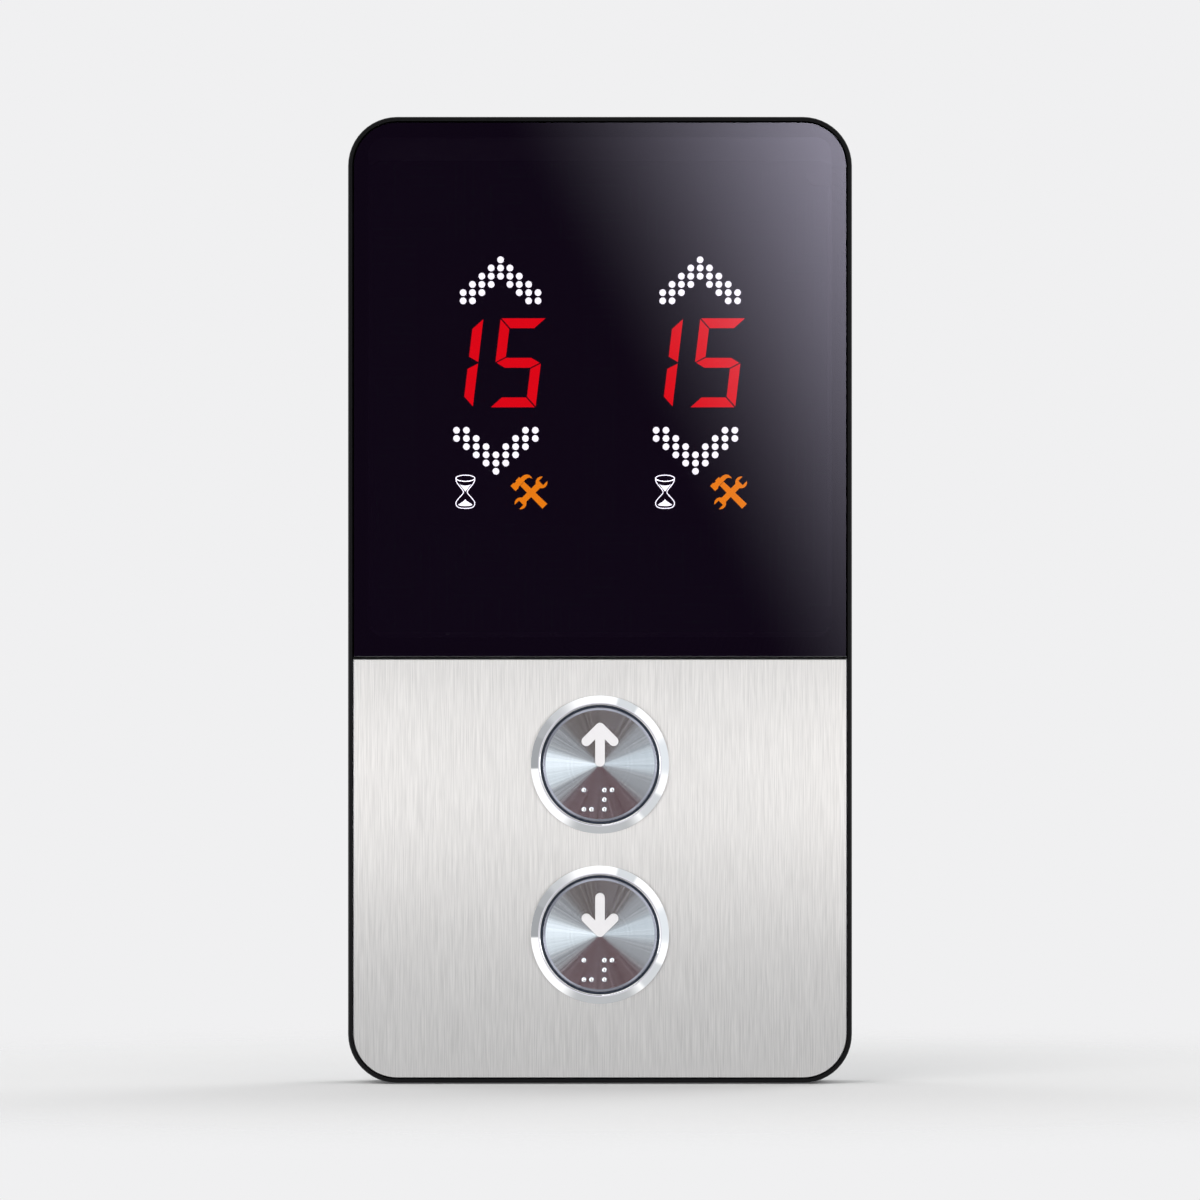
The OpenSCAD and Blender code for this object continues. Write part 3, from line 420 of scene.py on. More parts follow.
@dataclass(frozen=True)
class PrintedBoard(Finish):
    """Glass-fibre board under green lacquer, with copper tracks that show through.

    The grain is half the pitch of the tracks.

    Attributes:
        bundle: Size of the cells that a bundle of tracks crosses, in grains.
        track_edge: Where a track's edge begins and ends, from 0 between tracks to 1 on them.
        bare_share: Share of the tracks that is left out.
    """
    bundle: float = 7.0
    track_edge: Point = (0.68, 0.76)
    bare_share: float = 0.35

    def dress(self, tree: NodeTree, shader: Node) -> None:
        """Runs bundles of parallel tracks, upright in some cells and sideways in others.

        Args:
            tree: The material's tree.
            shader: Its shader.
        """
        place = self.place(tree, self.grain_mm)
        cells = add_node(tree, "ShaderNodeTexVoronoi", {"Vector": place, "Scale": 1 / self.bundle,
                                                        "Randomness": 0.7}, distance="CHEBYCHEV")
        chance = add_node(tree, "ShaderNodeSeparateColor", {"Color": cells.outputs["Color"]})
        # Half of the cells carry upright tracks
        upright = add_node(tree, "ShaderNodeMath", {0: chance, 1: 0.5}, operation="GREATER_THAN")
        axes = add_node(tree, "ShaderNodeSeparateXYZ", {"Vector": place})
        across = add_node(tree, "ShaderNodeMix", {"Factor": upright, "A": axes.outputs["Z"],
                                                  "B": axes.outputs["X"]}, data_type="FLOAT")
        within = add_node(tree, "ShaderNodeMath", {0: across, 1: 1.0}, operation="PINGPONG")
        track = add_node(tree, "ShaderNodeMapRange", {"Value": within, "From Min": self.track_edge[0],
                                                      "From Max": self.track_edge[1]},
                         interpolation_type="SMOOTHSTEP")
        number = add_node(tree, "ShaderNodeMath", {0: across}, operation="ROUND")
        seed = add_node(tree, "ShaderNodeMath", {0: number, 1: chance.outputs["Green"]}, operation="ADD")
        dice = add_node(tree, "ShaderNodeTexWhiteNoise", {"W": seed}, noise_dimensions="1D")
        laid = add_node(tree, "ShaderNodeMath", {0: dice, 1: self.bare_share}, operation="GREATER_THAN")
        copper = add_node(tree, "ShaderNodeMath", {0: track, 1: laid}, operation="MULTIPLY")
        self.paint(tree, shader, copper)
        self.emboss(tree, shader, copper)


@dataclass(frozen=True)
class LightGuide(Finish):
    """Moulded light guide, lit from behind.

    Attributes:
        glow: Colour of the light as it is seen through the window.
        strength: Strength of the light itself.
        dimmest: Level of the light where it is weakest.
    """
    glow: str = "#ffffff"
    strength: float = 1.0
    dimmest: float = 0.9

    def dress(self, tree: NodeTree, shader: Node) -> None:
        """Adds slightly uneven light, in clouds of two grains, to the moulded surface.

        Args:
            tree: The material's tree.
            shader: Its shader.
        """
        super().dress(tree, shader)
        place = self.place(tree, self.grain_mm)
        cloud = add_node(tree, "ShaderNodeTexNoise", {"Vector": place, "Scale": 0.5})
        add_node(tree, "ShaderNodeMix", {"Factor": cloud, "A": linear(self.glow),
                                         "B": linear(self.glow, self.dimmest)},
                 shader.inputs["Emission Color"], data_type="RGBA")
        shader.inputs["Emission Strength"].default_value = self.strength


@dataclass(frozen=True)
class SmokedSheet(Finish):
    """Smoked acrylic sheet: what is behind it shows through darkly."""

    def dress(self, tree: NodeTree, shader: Node) -> None:
        """Lets light through, a little more in some places than in others.

        Args:
            tree: The material's tree.
            shader: Its shader.
        """
        super().dress(tree, shader)
        shader.inputs["Transmission Weight"].default_value = 1.0


class Look(Enum):
    """Finishes by the record's material slot, each with what it gives the eye."""
    # ABS moulded in an eroded tool: an even black with a soft sheen, low in IOR to stay dark
    frame_plastic = Finish("moulded_black_abs", "#060607", "#0b0b0c", (0.3, 0.4), 0.5, 0.003, ior=1.33)
    # Hot-dip zinc on sheet: crystals of 4 mm, some paler and some duller
    galvanised_sheet = ZincSpangle("galvanised_steel", "#b0b4b6", "#c6c9ca", (0.34, 0.5), 4.0, 0.004,
                                   1.0)
    # Bright zinc plating on small screws, nuts and pins: cool and satin
    plated_steel = Finish("zinc_plated_steel", "#b9bcc0", "#d3d5d6", (0.2, 0.34), 0.8, 0.003, 1.0)
    # Cast smoked acrylic, polished: black until a lamp behind it is lit, with clear reflections
    smoked_window = SmokedSheet("smoked_acrylic", "#525053", "#555356", (0.0, 0.0), (60.0, 60.0, 25.0),
                                ior=1.49)
    # Foam with cells of 0.4 mm: dull, dark and pitted
    foam_tape = ClosedFoam("closed_cell_foam", "#101011", "#19191a", (0.8, 0.95), 0.4, 0.05)
    # Belt-ground stainless: lines 0.3 mm apart, coarser than real grit so that they show
    brushed_stainless = BrushedSheet("brushed_stainless_steel", "#d3ceca", "#e8e3df", (0.34, 0.4),
                                     (0.3, 5.0, 17.0), 0.0006, 1.0)
    # Lacquered glass fibre: green, with paler tracks 2.54 mm apart under the gloss
    circuit_board = PrintedBoard("lacquered_glass_board", "#0f3f27", "#1c6a40", (0.28, 0.4), 1.27, 0.03)
    # Moulded epoxy resin: charcoal, matt and finely grained
    chip_resin = Finish("moulded_chip_resin", "#1c1c1e", "#26262a", (0.5, 0.65), 0.3, 0.006)
    # Nylon in its own colour: warm ivory with a waxy sheen
    socket_plastic = Finish("natural_nylon", "#d9d0ba", "#e8e1cf", (0.4, 0.5), 1.2, 0.006)
    # Sparked black plastic: matt, so that the displays' housings vanish behind the window
    block_plastic = Finish("matt_black_block", "#0b090d", "#121015", (0.6, 0.7), 0.6, 0.006)
    # Red plastic over a lit lamp: an even red glow
    lit_red = LightGuide("red_light_guide_lit", "#7a0008", "#8c000c", (0.35, 0.45), 2.0,
                         glow="#ff0006", strength=9.0)
    # The same plastic unlit: as dark as its housing
    dark_diffuser = Finish("light_guide_unlit", "#120d12", "#181218", (0.4, 0.5), 2.0)
    # Milky plastic over a lit lamp: bright white dots
    lit_white = LightGuide("white_light_guide_lit", "#d8d8dc", "#e4e4e8", (0.35, 0.45), 1.0,
                           glow="#fbfbff", strength=13.5)
    # Smoked plastic under the symbols: dark, so that only the ink shows
    symbol_lens = Finish("smoked_symbol_lens", "#0d0b10", "#131117", (0.4, 0.5), 2.0)
    # Polished chrome plate: a sharp bright mirror, so the rings read as plated and not as steel
    chrome = Finish("polished_chrome_plate", "#f5f6f7", "#fbfbfc", (0.0, 0.0), 9.0, metallic=1.0)
    # Zinc as it is cast: dull grey and slightly rough
    clamp_zinc = Finish("cast_zinc", "#a09e98", "#b5b3ad", (0.4, 0.55), 1.5, 0.02, 1.0)
    # Polished polycarbonate, coloured through: a glossy dark blue line round each cap
    navy_diffuser = Finish("dark_blue_polycarbonate", "#27303f", "#333d4f", (0.22, 0.32), 1.5)
    # Nylon filled with glass: dark grey, its skin slightly mottled by the fibres
    body_plastic = Finish("black_glass_filled_nylon", "#191919", "#242425", (0.5, 0.62), 0.4, 0.012)
    # Polished steel pins: raised dots that each carry one bright highlight
    polished_steel = Finish("polished_pin_steel", "#f6f7f9", "#fdfdff", (0.08, 0.12), 0.6, metallic=1.0)
    # Opaque white acrylic let into the cap: clean, with a slight gloss
    arrow_white = Finish("white_acrylic_inlay", "#efedef", "#f5f3f5", (0.3, 0.38), 2.5, 0.002)
    # Cold-drawn wire: bright, with faint drawing lines
    spring_steel = Finish("drawn_spring_wire", "#a7abb0", "#c0c4c8", (0.22, 0.36), (0.3, 0.3, 2.0),
                          0.002, 1.0)
    # Red acetal: slippery, with a soft sheen
    plunger_red = Finish("red_acetal", "#8c1216", "#9c1a1e", (0.35, 0.45), 0.8, 0.004)
    # Cast clear resin: glossy straw yellow over the lamp's cup
    led_lens = Finish("clear_lamp_resin", "#e2dfbe", "#eeebd2", (0.12, 0.2), 0.5)


# The cap's two tones carry its rings and its painted glint streaks
# Faced steel of a cap: rings 0.6 mm apart, coarser than the real cut so that they show
CAP_FACE = TurnedFace("turned_cap_steel", "#d2d6db", "#eceff2", (0.18, 0.22), 0.6, metallic=1.0)
# Symbols printed in glowing ink, as bright as they show through the window
WHITE_SYMBOL = LightGuide("white_symbol_lit", "#d8d8dc", "#e4e4e8", (0.4, 0.5), 1.0,
                          glow="#f8f8ff", strength=18.0)
ORANGE_SYMBOL = LightGuide("orange_symbol_lit", "#8a4a00", "#985200", (0.4, 0.5), 1.0,
                           glow="#f88700", strength=11.0)


def dress_nodes() -> dict[str, Material]:
    """Gives every CAD node its finish; each cap's is centred on the cap.

    Returns:
        The materials by their slot in the record.
    """
    made = {look.name: look.value.make() for look in Look}
    for part in frame["record"]["subparts"]:
        node, slot = part["node"], part["material_slot"]
        if slot == "turned_steel":
            low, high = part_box(node)
            cap = replace(CAP_FACE, name=f"{CAP_FACE.name}_{node}", centre=tuple((low + high) / 2))
            material = cap.make()
        else:
            material = made[slot]
        for held in frame["nodes"][node].material_slots:
            held.material = material
    return made


# Pieces


def add_object(name: str, data: ID) -> Object:
    """Puts a mesh, curve, camera or light into the scene.

    Args:
        name: Name of the object.
        data: What the object shows.

    Returns:
        The new object, at the origin.
    """
    made = bpy.data.objects.new(name, data)
    bpy.context.scene.collection.objects.link(made)
    return made


def finished_mesh(source: Object, name: str, place: Matrix) -> Object:
    """Turns an object with its modifiers into a plain mesh that is placed by its points.

    Args:
        source: Object to convert; it is removed.
        name: Name of the new object.
        place: Where the mesh goes.

    Returns:
        The new object, at the origin.
    """
    seen = source.evaluated_get(bpy.context.evaluated_depsgraph_get())
    mesh = bpy.data.meshes.new_from_object(seen)
    mesh.transform(place)
    mesh.name = name
    bpy.data.objects.remove(source)
    return add_object(name, mesh)


def grow(name: str, sizes: dict[str, float | int],
         write: Callable[[NodeTree, dict[str, NodeSocket]], Node], material: Material,
         place: Matrix) -> Object:
    """Grows a piece from a Geometry Nodes tree and turns it into a plain mesh.

    Args:
        name: Name of the piece.
        sizes: The tree's inputs with their values.
        write: Adds the piece's nodes to the tree, given its inputs, and returns the last one.
        material: What the piece is made of.
        place: Where it goes.

    Returns:
        The piece, at the origin.
    """
    tree = bpy.data.node_groups.new(name, "GeometryNodeTree")
    for end in ("INPUT", "OUTPUT"):
        tree.interface.new_socket("Geometry", in_out=end, socket_type="NodeSocketGeometry")
    identifiers = {}
    for label, value in sizes.items():
        kind = "NodeSocketInt" if isinstance(value, int) else "NodeSocketFloat"
        identifiers[label] = tree.interface.new_socket(label, in_out="INPUT", socket_type=kind).identifier
    given = add_node(tree, "NodeGroupInput").outputs
    shape = write(tree, {label: given[label] for label in sizes})
    real = add_node(tree, "GeometryNodeRealizeInstances", {"Geometry": shape})
    smooth = add_node(tree, "GeometryNodeSetShadeSmooth", {"Geometry": real})
    dressed = add_node(tree, "GeometryNodeSetMaterial", {"Geometry": smooth, "Material": material})
    add_node(tree, "NodeGroupOutput", {"Geometry": dressed})
    base = add_object(f"{name}_base", bpy.data.meshes.new(f"{name}_base"))
    growth = base.modifiers.new("growth", "NODES")
    growth.node_group = tree
    for label, value in sizes.items():
        growth[identifiers[label]] = value
    return finished_mesh(base, name, place)


@dataclass
class ReturnSpring:
    """Return spring of a push button, wound from round wire with flat end turns.

    Attributes:
        button: Name of the button, up or down.
        wire_r: Radius of the wire.
        turns: Number of turns.
        flat_turns: Turns at each end that lie flat.
        travel: How far the button goes in; not used.
        steps: Points along the wire.
        sides: Sides of the wire's section.
    """
    button: str
    wire_r: float = 0.3 * MM
    turns: float = 4.2
    flat_turns: float = 0.6
    travel: float = 1.5 * MM
    steps: int = 220
    sides: int = 14

    def build(self, wire: Material) -> Object:
        """Winds the spring where the solid one is, and hides the solid one.

        Args:
            wire: Its material.

        Returns:
            The spring.
        """
        low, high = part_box(f"{self.button}_return_spring")
        centre, length = (low + high) / 2, high.y - low.y
        sizes = {"Mean Radius": (high.x - low.x) / 2 - self.wire_r, "Wire Radius": self.wire_r,
                 "Turns": self.turns, "Flat Turns": self.flat_turns, "Length": length}
        seat = (centre.x, high.y, centre.z)
        place = Matrix.Translation(seat) @ Matrix.Rotation(math.pi / 2, 4, "X")
        spring = grow(f"{self.button}_wound_spring", sizes, self.wind, wire, place)
        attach(spring, "panel")
        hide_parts(f"{self.button}_return_spring")
        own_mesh(spring)
        return spring

    def wind(self, tree: NodeTree, sizes: dict[str, NodeSocket]) -> Node:
        """Writes the winding: angle and height of each step, then the wire round that line.

        Args:
            tree: Tree that gets the nodes.
            sizes: Its inputs.

        Returns:
            The node that makes the wire.
        """
        line = add_node(tree, "GeometryNodeCurvePrimitiveLine")
        steps = add_node(tree, "GeometryNodeResampleCurve", {"Curve": line, "Count": self.steps})
        share = add_node(tree, "GeometryNodeSplineParameter").outputs["Factor"]
        turn = add_node(tree, "ShaderNodeMath", {0: share, 1: sizes["Turns"]}, operation="MULTIPLY")
        angle = add_node(tree, "ShaderNodeMath", {0: turn, 1: math.tau}, operation="MULTIPLY")
        last = add_node(tree, "ShaderNodeMath", {0: sizes["Turns"], 1: sizes["Flat Turns"]},
                        operation="SUBTRACT")
        top = add_node(tree, "ShaderNodeMath", {0: sizes["Length"], 1: sizes["Wire Radius"]},
                       operation="SUBTRACT")
        height = add_node(tree, "ShaderNodeMapRange", {"Value": turn, "From Min": sizes["Flat Turns"],
                                                       "From Max": last, "To Min": sizes["Wire Radius"],
                                                       "To Max": top})
        spot = {"Z": height}
        for axis, way in (("X", "COSINE"), ("Y", "SINE")):
            part = add_node(tree, "ShaderNodeMath", {0: angle}, operation=way)
            spot[axis] = add_node(tree, "ShaderNodeMath", {0: part, 1: sizes["Mean Radius"]},
                                  operation="MULTIPLY")
        point = add_node(tree, "ShaderNodeCombineXYZ", spot)
        path = add_node(tree, "GeometryNodeSetPosition", {"Geometry": steps, "Position": point})
        ring = add_node(tree, "GeometryNodeCurvePrimitiveCircle", {"Resolution": self.sides,
                                                                   "Radius": sizes["Wire Radius"]})
        return add_node(tree, "GeometryNodeCurveToMesh", {"Curve": path, "Profile Curve": ring,
                                                          "Fill Caps": True})


@dataclass
class SolderRows:
    """Soldered pins of one display, on the back of the display board.

    Attributes:
        side: Name of the display, left or right.
        row_reach: Distance of each row from the display's middle.
        pitch: Distance from pin to pin.
        count: Pins in a row.
        pad_r: Radius of the solder on its pad.
        pin_r: Radius of the pin's end.
        height: Height of the pin over the board.
        flare: Power by which the solder widens towards its pad.
        rings: Rings of points along a joint.
        sides: Sides of each ring.
    """
    side: str
    row_reach: float = 15.24 * MM
    pitch: float = 2.54 * MM
    count: int = 26
    pad_r: float = 0.95 * MM
    pin_r: float = 0.27 * MM
    height: float = 1.3 * MM
    flare: float = 2.5
    rings: int = 9
    sides: int = 16

    def build(self, solder: Material) -> Object:
        """Sets both rows on the board.

        Args:
            solder: Their material.

        Returns:
            The rows as one piece.
        """
        low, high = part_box(f"{self.side}_display_block")
        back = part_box("display_board")[1].y
        sizes = {"Count": self.count, "Pitch": self.pitch, "Row Gap": 2 * self.row_reach,
                 "Pad Radius": self.pad_r, "Pin Radius": self.pin_r, "Height": self.height}
        start = (low + high) / 2 - Vector((self.row_reach, 0, (self.count - 1) * self.pitch / 2))
        place = Matrix.Translation((start.x, back, start.z)) @ Matrix.Rotation(-math.pi / 2, 4, "X")
        rows = grow(f"{self.side}_display_solder", sizes, self.repeat, solder, place)
        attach(rows, "panel")
        return rows

    def repeat(self, tree: NodeTree, sizes: dict[str, NodeSocket]) -> Node:
        """Writes one flared joint, a row of them, and the row again across the display.

        Args:
            tree: Tree that gets the nodes.
            sizes: Its inputs.

        Returns:
            The node that makes the rows.
        """
        tip = add_node(tree, "ShaderNodeCombineXYZ", {"Z": sizes["Height"]})
        pin = add_node(tree, "GeometryNodeCurvePrimitiveLine", {"End": tip})
        steps = add_node(tree, "GeometryNodeResampleCurve", {"Curve": pin, "Count": self.rings})
        share = add_node(tree, "GeometryNodeSplineParameter").outputs["Factor"]
        left = add_node(tree, "ShaderNodeMath", {0: 1.0, 1: share}, operation="SUBTRACT")
        flare = add_node(tree, "ShaderNodeMath", {0: left, 1: self.flare}, operation="POWER")
        extra = add_node(tree, "ShaderNodeMath", {0: sizes["Pad Radius"], 1: sizes["Pin Radius"]},
                         operation="SUBTRACT")
        radius = add_node(tree, "ShaderNodeMath", {0: extra, 1: flare, 2: sizes["Pin Radius"]},
                          operation="MULTIPLY_ADD")
        ring = add_node(tree, "GeometryNodeCurvePrimitiveCircle", {"Resolution": self.sides,
                                                                   "Radius": 1.0})
        joint = add_node(tree, "GeometryNodeCurveToMesh", {"Curve": steps, "Profile Curve": ring,
                                                           "Scale": radius, "Fill Caps": True})
        step = add_node(tree, "ShaderNodeCombineXYZ", {"Y": sizes["Pitch"]})
        row = add_node(tree, "GeometryNodeMeshLine", {"Count": sizes["Count"], "Offset": step})
        joints = add_node(tree, "GeometryNodeInstanceOnPoints", {"Points": row, "Instance": joint})
        gap = add_node(tree, "ShaderNodeCombineXYZ", {"X": sizes["Row Gap"]})
        ends = add_node(tree, "GeometryNodeMeshLine", {"Count": 2, "Offset": gap})
        return add_node(tree, "GeometryNodeInstanceOnPoints", {"Points": ends, "Instance": joints})


def arc(centre: Point, radius: Point, start: float, end: float, steps: int = 24) -> list[Point]:
    """Follows an ellipse.

    Args:
        centre: Middle of the ellipse.
        radius: Half its width and half its height.
        start: First angle in degrees.
        end: Last angle in degrees.
        steps: Number of stretches.

    Returns:
        The points along it, both ends included.
    """
    angles = [math.radians(start + (end - start) * i / steps) for i in range(steps + 1)]
    return [(centre[0] + radius[0] * math.cos(a), centre[1] + radius[1] * math.sin(a)) for a in angles]


def bend(points: list[Point], steps: int = 12) -> list[Point]:
    """Follows a Bezier curve.

    Args:
        points: Its control points.
        steps: Number of stretches.

    Returns:
        The points along it, both ends included.
    """
    degree = len(points) - 1
    shares = [i / steps for i in range(steps + 1)]
    weights = [[math.comb(degree, k) * (1 - t) ** (degree - k) * t ** k for k in range(degree + 1)]
               for t in shares]
    return [tuple(sum(w * p[axis] for w, p in zip(row, points)) for axis in (0, 1)) for row in weights]


def mirrored(points: Iterable[Point]) -> list[Point]:
    """Returns the points mirrored left to right, in reverse order."""
    return [(-x, y) for x, y in reversed(list(points))]


def drawn(name: str, outlines: list[list[Point]], thickness: float, line: bool = False) -> Object:
    """Draws closed outlines, as flat shapes or as a round line.

    Args:
        name: Name of the object.
        outlines: The outlines in millimetres; where two flat shapes overlap they cut a hole.
        thickness: Thickness of the flat shapes or of the line.
        line: Whether to draw a line along the outlines in place of flat shapes.

    Returns:
        The object, flat in X and Y, with its middle at z = 0.
    """
    curve = bpy.data.curves.new(name, "CURVE")
    curve.dimensions = "3D" if line else "2D"
    for outline in outlines:
        spline = curve.splines.new("POLY")
        spline.points.add(len(outline) - 1)
        for point, (x, y) in zip(spline.points, outline):
            point.co = (x * MM, y * MM, 0.0, 1.0)
        spline.use_cyclic_u = True
    if line:
        curve.bevel_depth, curve.bevel_resolution = thickness / 2, 3
    else:
        curve.fill_mode, curve.extrude = "BOTH", thickness / 2
    return add_object(name, curve)


@dataclass
class DisplaySymbols:
    """Waiting and service symbols that glow on the lenses of one display.

    From glass_half_w on, sizes and places are in millimetres: the hourglass's from its middle, the
    tools' with u along the spanner and v along the hammer's handle.

    Attributes:
        side: Name of the display, left or right.
        waiting_w: Width of the waiting symbol's lens.
        service_w: Width of the service symbol's lens.
        ink_t: Thickness of the ink.
        hammer_t: Thickness of the ink on the hammer, which lies over the spanner.
        line_w: Width of the line that draws the hourglass.
        tools_up: Height of the tools' middle over the lens's.
        glass_half_w: Half the hourglass's width.
        rim_y: Height of its rim's middle.
        rim_half_h: Half the height of its rim.
        foot_y: Height of its foot.
        waist_half_w: Half the width of its waist.
        spanner_v: Place of the spanner's axis.
        shaft_half_w: Half the width of its shaft.
        jaw_r: Radius of its jaws.
        jaw_u: Distance of each jaw from its middle.
        slot_half_w: Half the width of each jaw's slot.
        slot_floor: How far the slot's floor is from the jaw's middle.
        handle_end: Place of the handle's end.
        head_v: Place of the lower side of the hammer's head.
    """
    side: str
    waiting_w: float = 8 * MM
    service_w: float = 13 * MM
    ink_t: float = 0.12 * MM
    hammer_t: float = 0.156 * MM
    line_w: float = 0.25 * MM
    tools_up: float = 0.33 * MM
    glass_half_w: float = 2.74
    rim_y: float = 4.02
    rim_half_h: float = 0.9
    foot_y: float = -4.72
    waist_half_w: float = 0.55
    spanner_v: float = -0.78
    shaft_half_w: float = 0.86
    jaw_r: float = 1.7
    jaw_u: float = 4.3
    slot_half_w: float = 0.9
    slot_floor: float = 0.25
    handle_end: float = -6.35
    head_v: float = 3.02

    def build(self, white: Material, orange: Material) -> list[Object]:
        """Draws both symbols on the display's lenses.

        Args:
            white: Material of the hourglass.
            orange: Material of the tools.

        Returns:
            The two pieces.
        """
        low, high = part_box(f"{self.side}_symbol_lenses")
        middle = (low.z + high.z) / 2
        waiting = (low.x + self.waiting_w / 2, low.y, middle)
        service = (high.x - self.service_w / 2, low.y, middle + self.tools_up)
        return [self.lay("hourglass", self.hourglass(), waiting, white),
                self.lay("tools", self.tools(), service, orange)]

    def lay(self, name: str, shapes: list[Object], spot: Triple, ink: Material) -> Object:
        """Lays shapes on a lens and joins them into one piece.

        Args:
            name: Name of the symbol.
            shapes: What it is drawn with.
            spot: Where its middle goes.
            ink: Its material.

        Returns:
            The piece.
        """
        place = Matrix.Translation(spot) @ Matrix.Rotation(math.pi / 2, 4, "X")
        parts = [finished_mesh(shape, shape.name, place) for shape in shapes]
        with bpy.context.temp_override(active_object=parts[0], selected_editable_objects=parts):
            bpy.ops.object.join()
        piece = parts[0]
        piece.name = f"{self.side}_{name}"
        piece.data.materials.clear()
        piece.data.materials.append(ink)
        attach(piece, "panel")
        return piece

    def hourglass(self) -> list[Object]:
        """Draws the rim, the glass and the sand above and below.

        Returns:
            The three shapes.
        """
        w, waist = self.glass_half_w, self.waist_half_w
        rim = arc((0, self.rim_y), (w, self.rim_half_h), 0, 360, 40)[:-1]
        side = (bend([(w, self.rim_y), (w, 3.0), (w - 0.1, 2.7), (1.35, 1.25), (waist, 0.55), (waist, 0)])
                + bend([(waist, 0), (waist, -0.5), (1.35, -1.2), (w, -2.4), (w, -3.2)])
                + bend([(w, -3.2), (w, -4.1), (w - 0.5, self.foot_y + 0.1), (1.2, self.foot_y),
                        (0, self.foot_y)]))
        glass = side + mirrored(side) + arc((0, self.rim_y), (w, self.rim_half_h), 180, 360)[1:-1]
        surface = bend([(-1.75, 2.35), (-1.2, 1.85), (0, 1.75), (1.2, 1.85), (1.75, 2.35)])
        heap = bend([(2.05, -3.65), (1.2, -3.0), (0.35, -2.75), (0, -2.0)])
        floor = bend([(-2.05, -3.65), (-1.9, -4.1), (0, -4.15), (1.9, -4.1), (2.05, -3.65)])
        sand = [surface + [(0.02, 0.2), (-0.02, 0.2)], heap + mirrored(heap) + floor]
        return [drawn("rim", [rim], self.line_w, line=True), drawn("glass", [glass], self.line_w, line=True),
                drawn("sand", sand, self.ink_t)]

    def tools(self) -> list[Object]:
        """Draws the spanner and the hammer, crossed at right angles.

        Returns:
            The three shapes.
        """
        return [drawn("spanner", [self.tilted(self.spanner())], self.ink_t),
                drawn("handle", [self.tilted(self.handle())], self.hammer_t),
                drawn("head", [self.tilted(self.head())], self.hammer_t)]

    def tilted(self, points: list[Point]) -> list[Point]:
        """Turns points of the tools' own axes by 45 degrees."""
        half = math.sqrt(0.5)
        return [(half * (u - v), half * (u + v)) for u, v in points]

    def spanner(self) -> list[Point]:
        """Outlines a spanner with two open jaws: a disc at each end, less a slot.

        Returns:
            The outline.
        """
        meet = math.degrees(math.asin(self.shaft_half_w / self.jaw_r))
        lip = math.degrees(math.asin(self.slot_half_w / self.jaw_r))
        floor = self.jaw_u - self.slot_floor
        upper = arc((self.jaw_u, 0), (self.jaw_r, self.jaw_r), 180 - meet, lip)
        upper.append((floor, self.slot_half_w))
        jaw = upper + [(u, -v) for u, v in reversed(upper)]
        return [(u, v + self.spanner_v) for u, v in jaw + [(-u, -v) for u, v in jaw]]

    def handle(self) -> list[Point]:
        """Returns the outline of the hammer's handle, which widens towards its end."""
        top = self.head_v - 0.1
        return [(-0.75, top), (-0.9, self.handle_end), (1.05, self.handle_end), (0.85, top)]

    def head(self) -> list[Point]:
        """Outlines the hammer's head with its face, neck, eye and claw.

        Returns:
            The outline.
        """
        low = self.head_v
        face = [(-2.8, low - 0.25), (-1.5, low - 0.25), (-1.5, low), (0.9, low)]
        claw = bend([(0.9, low), (2.4, 3.2), (2.8, 2.9), (3.15, 1.95)]) + bend(
            [(3.2, 1.95), (3.6, 3.2), (3.1, 4.3), (2.0, 4.45), (0.8, 4.42)])
        eye = [(0.8, 4.9), (-0.7, 4.9), (-0.7, 4.6), (-1.5, 4.6), (-1.5, 4.85), (-2.8, 4.85)]
        return face + claw + eye


# Studio


@dataclass(frozen=True)
class Card:
    """A disc or a wedge in the studio's surroundings that shows only in reflections.

    A wedge is a disc that is looked up by the turn alone, so that it points at the panel's axis.

    Attributes:
        turn: Direction round the panel's axis in degrees, 0 to the right and 90 upwards.
        tilt: Angle between its middle and the panel's axis in degrees, 90 for a wedge.
        reach: Angular radius of a disc, or half the opening of a wedge, in degrees.
        colour: Colour as sRGB hex.
        soft: Width of its soft edge in degrees.
        level: Brightness.
    """
    turn: float
    tilt: float
    reach: float
    colour: str
    soft: float
    level: float = 1.0

    def mask(self, tree: NodeTree, way: Source) -> Node:
        """Marks the directions that the card covers.

        Args:
            tree: The world's tree.
            way: Direction of a ray.

        Returns:
            The node that gives 1 on the card and 0 beside it.
        """
        turn, tilt = math.radians(self.turn), math.radians(self.tilt)
        middle = (math.sin(tilt) * math.cos(turn), -math.cos(tilt), math.sin(tilt) * math.sin(turn))
        near = add_node(tree, "ShaderNodeVectorMath", {0: way, 1: middle}, operation="DOT_PRODUCT")
        outer, inner = (math.cos(math.radians(self.reach + s * self.soft / 2)) for s in (1, -1))
        return add_node(tree, "ShaderNodeMapRange", {"Value": near, "From Min": outer, "From Max": inner},
                        interpolation_type="SMOOTHSTEP")

    def light(self) -> Colour:
        """Returns the colour of its light."""
        return linear(self.colour, self.level)


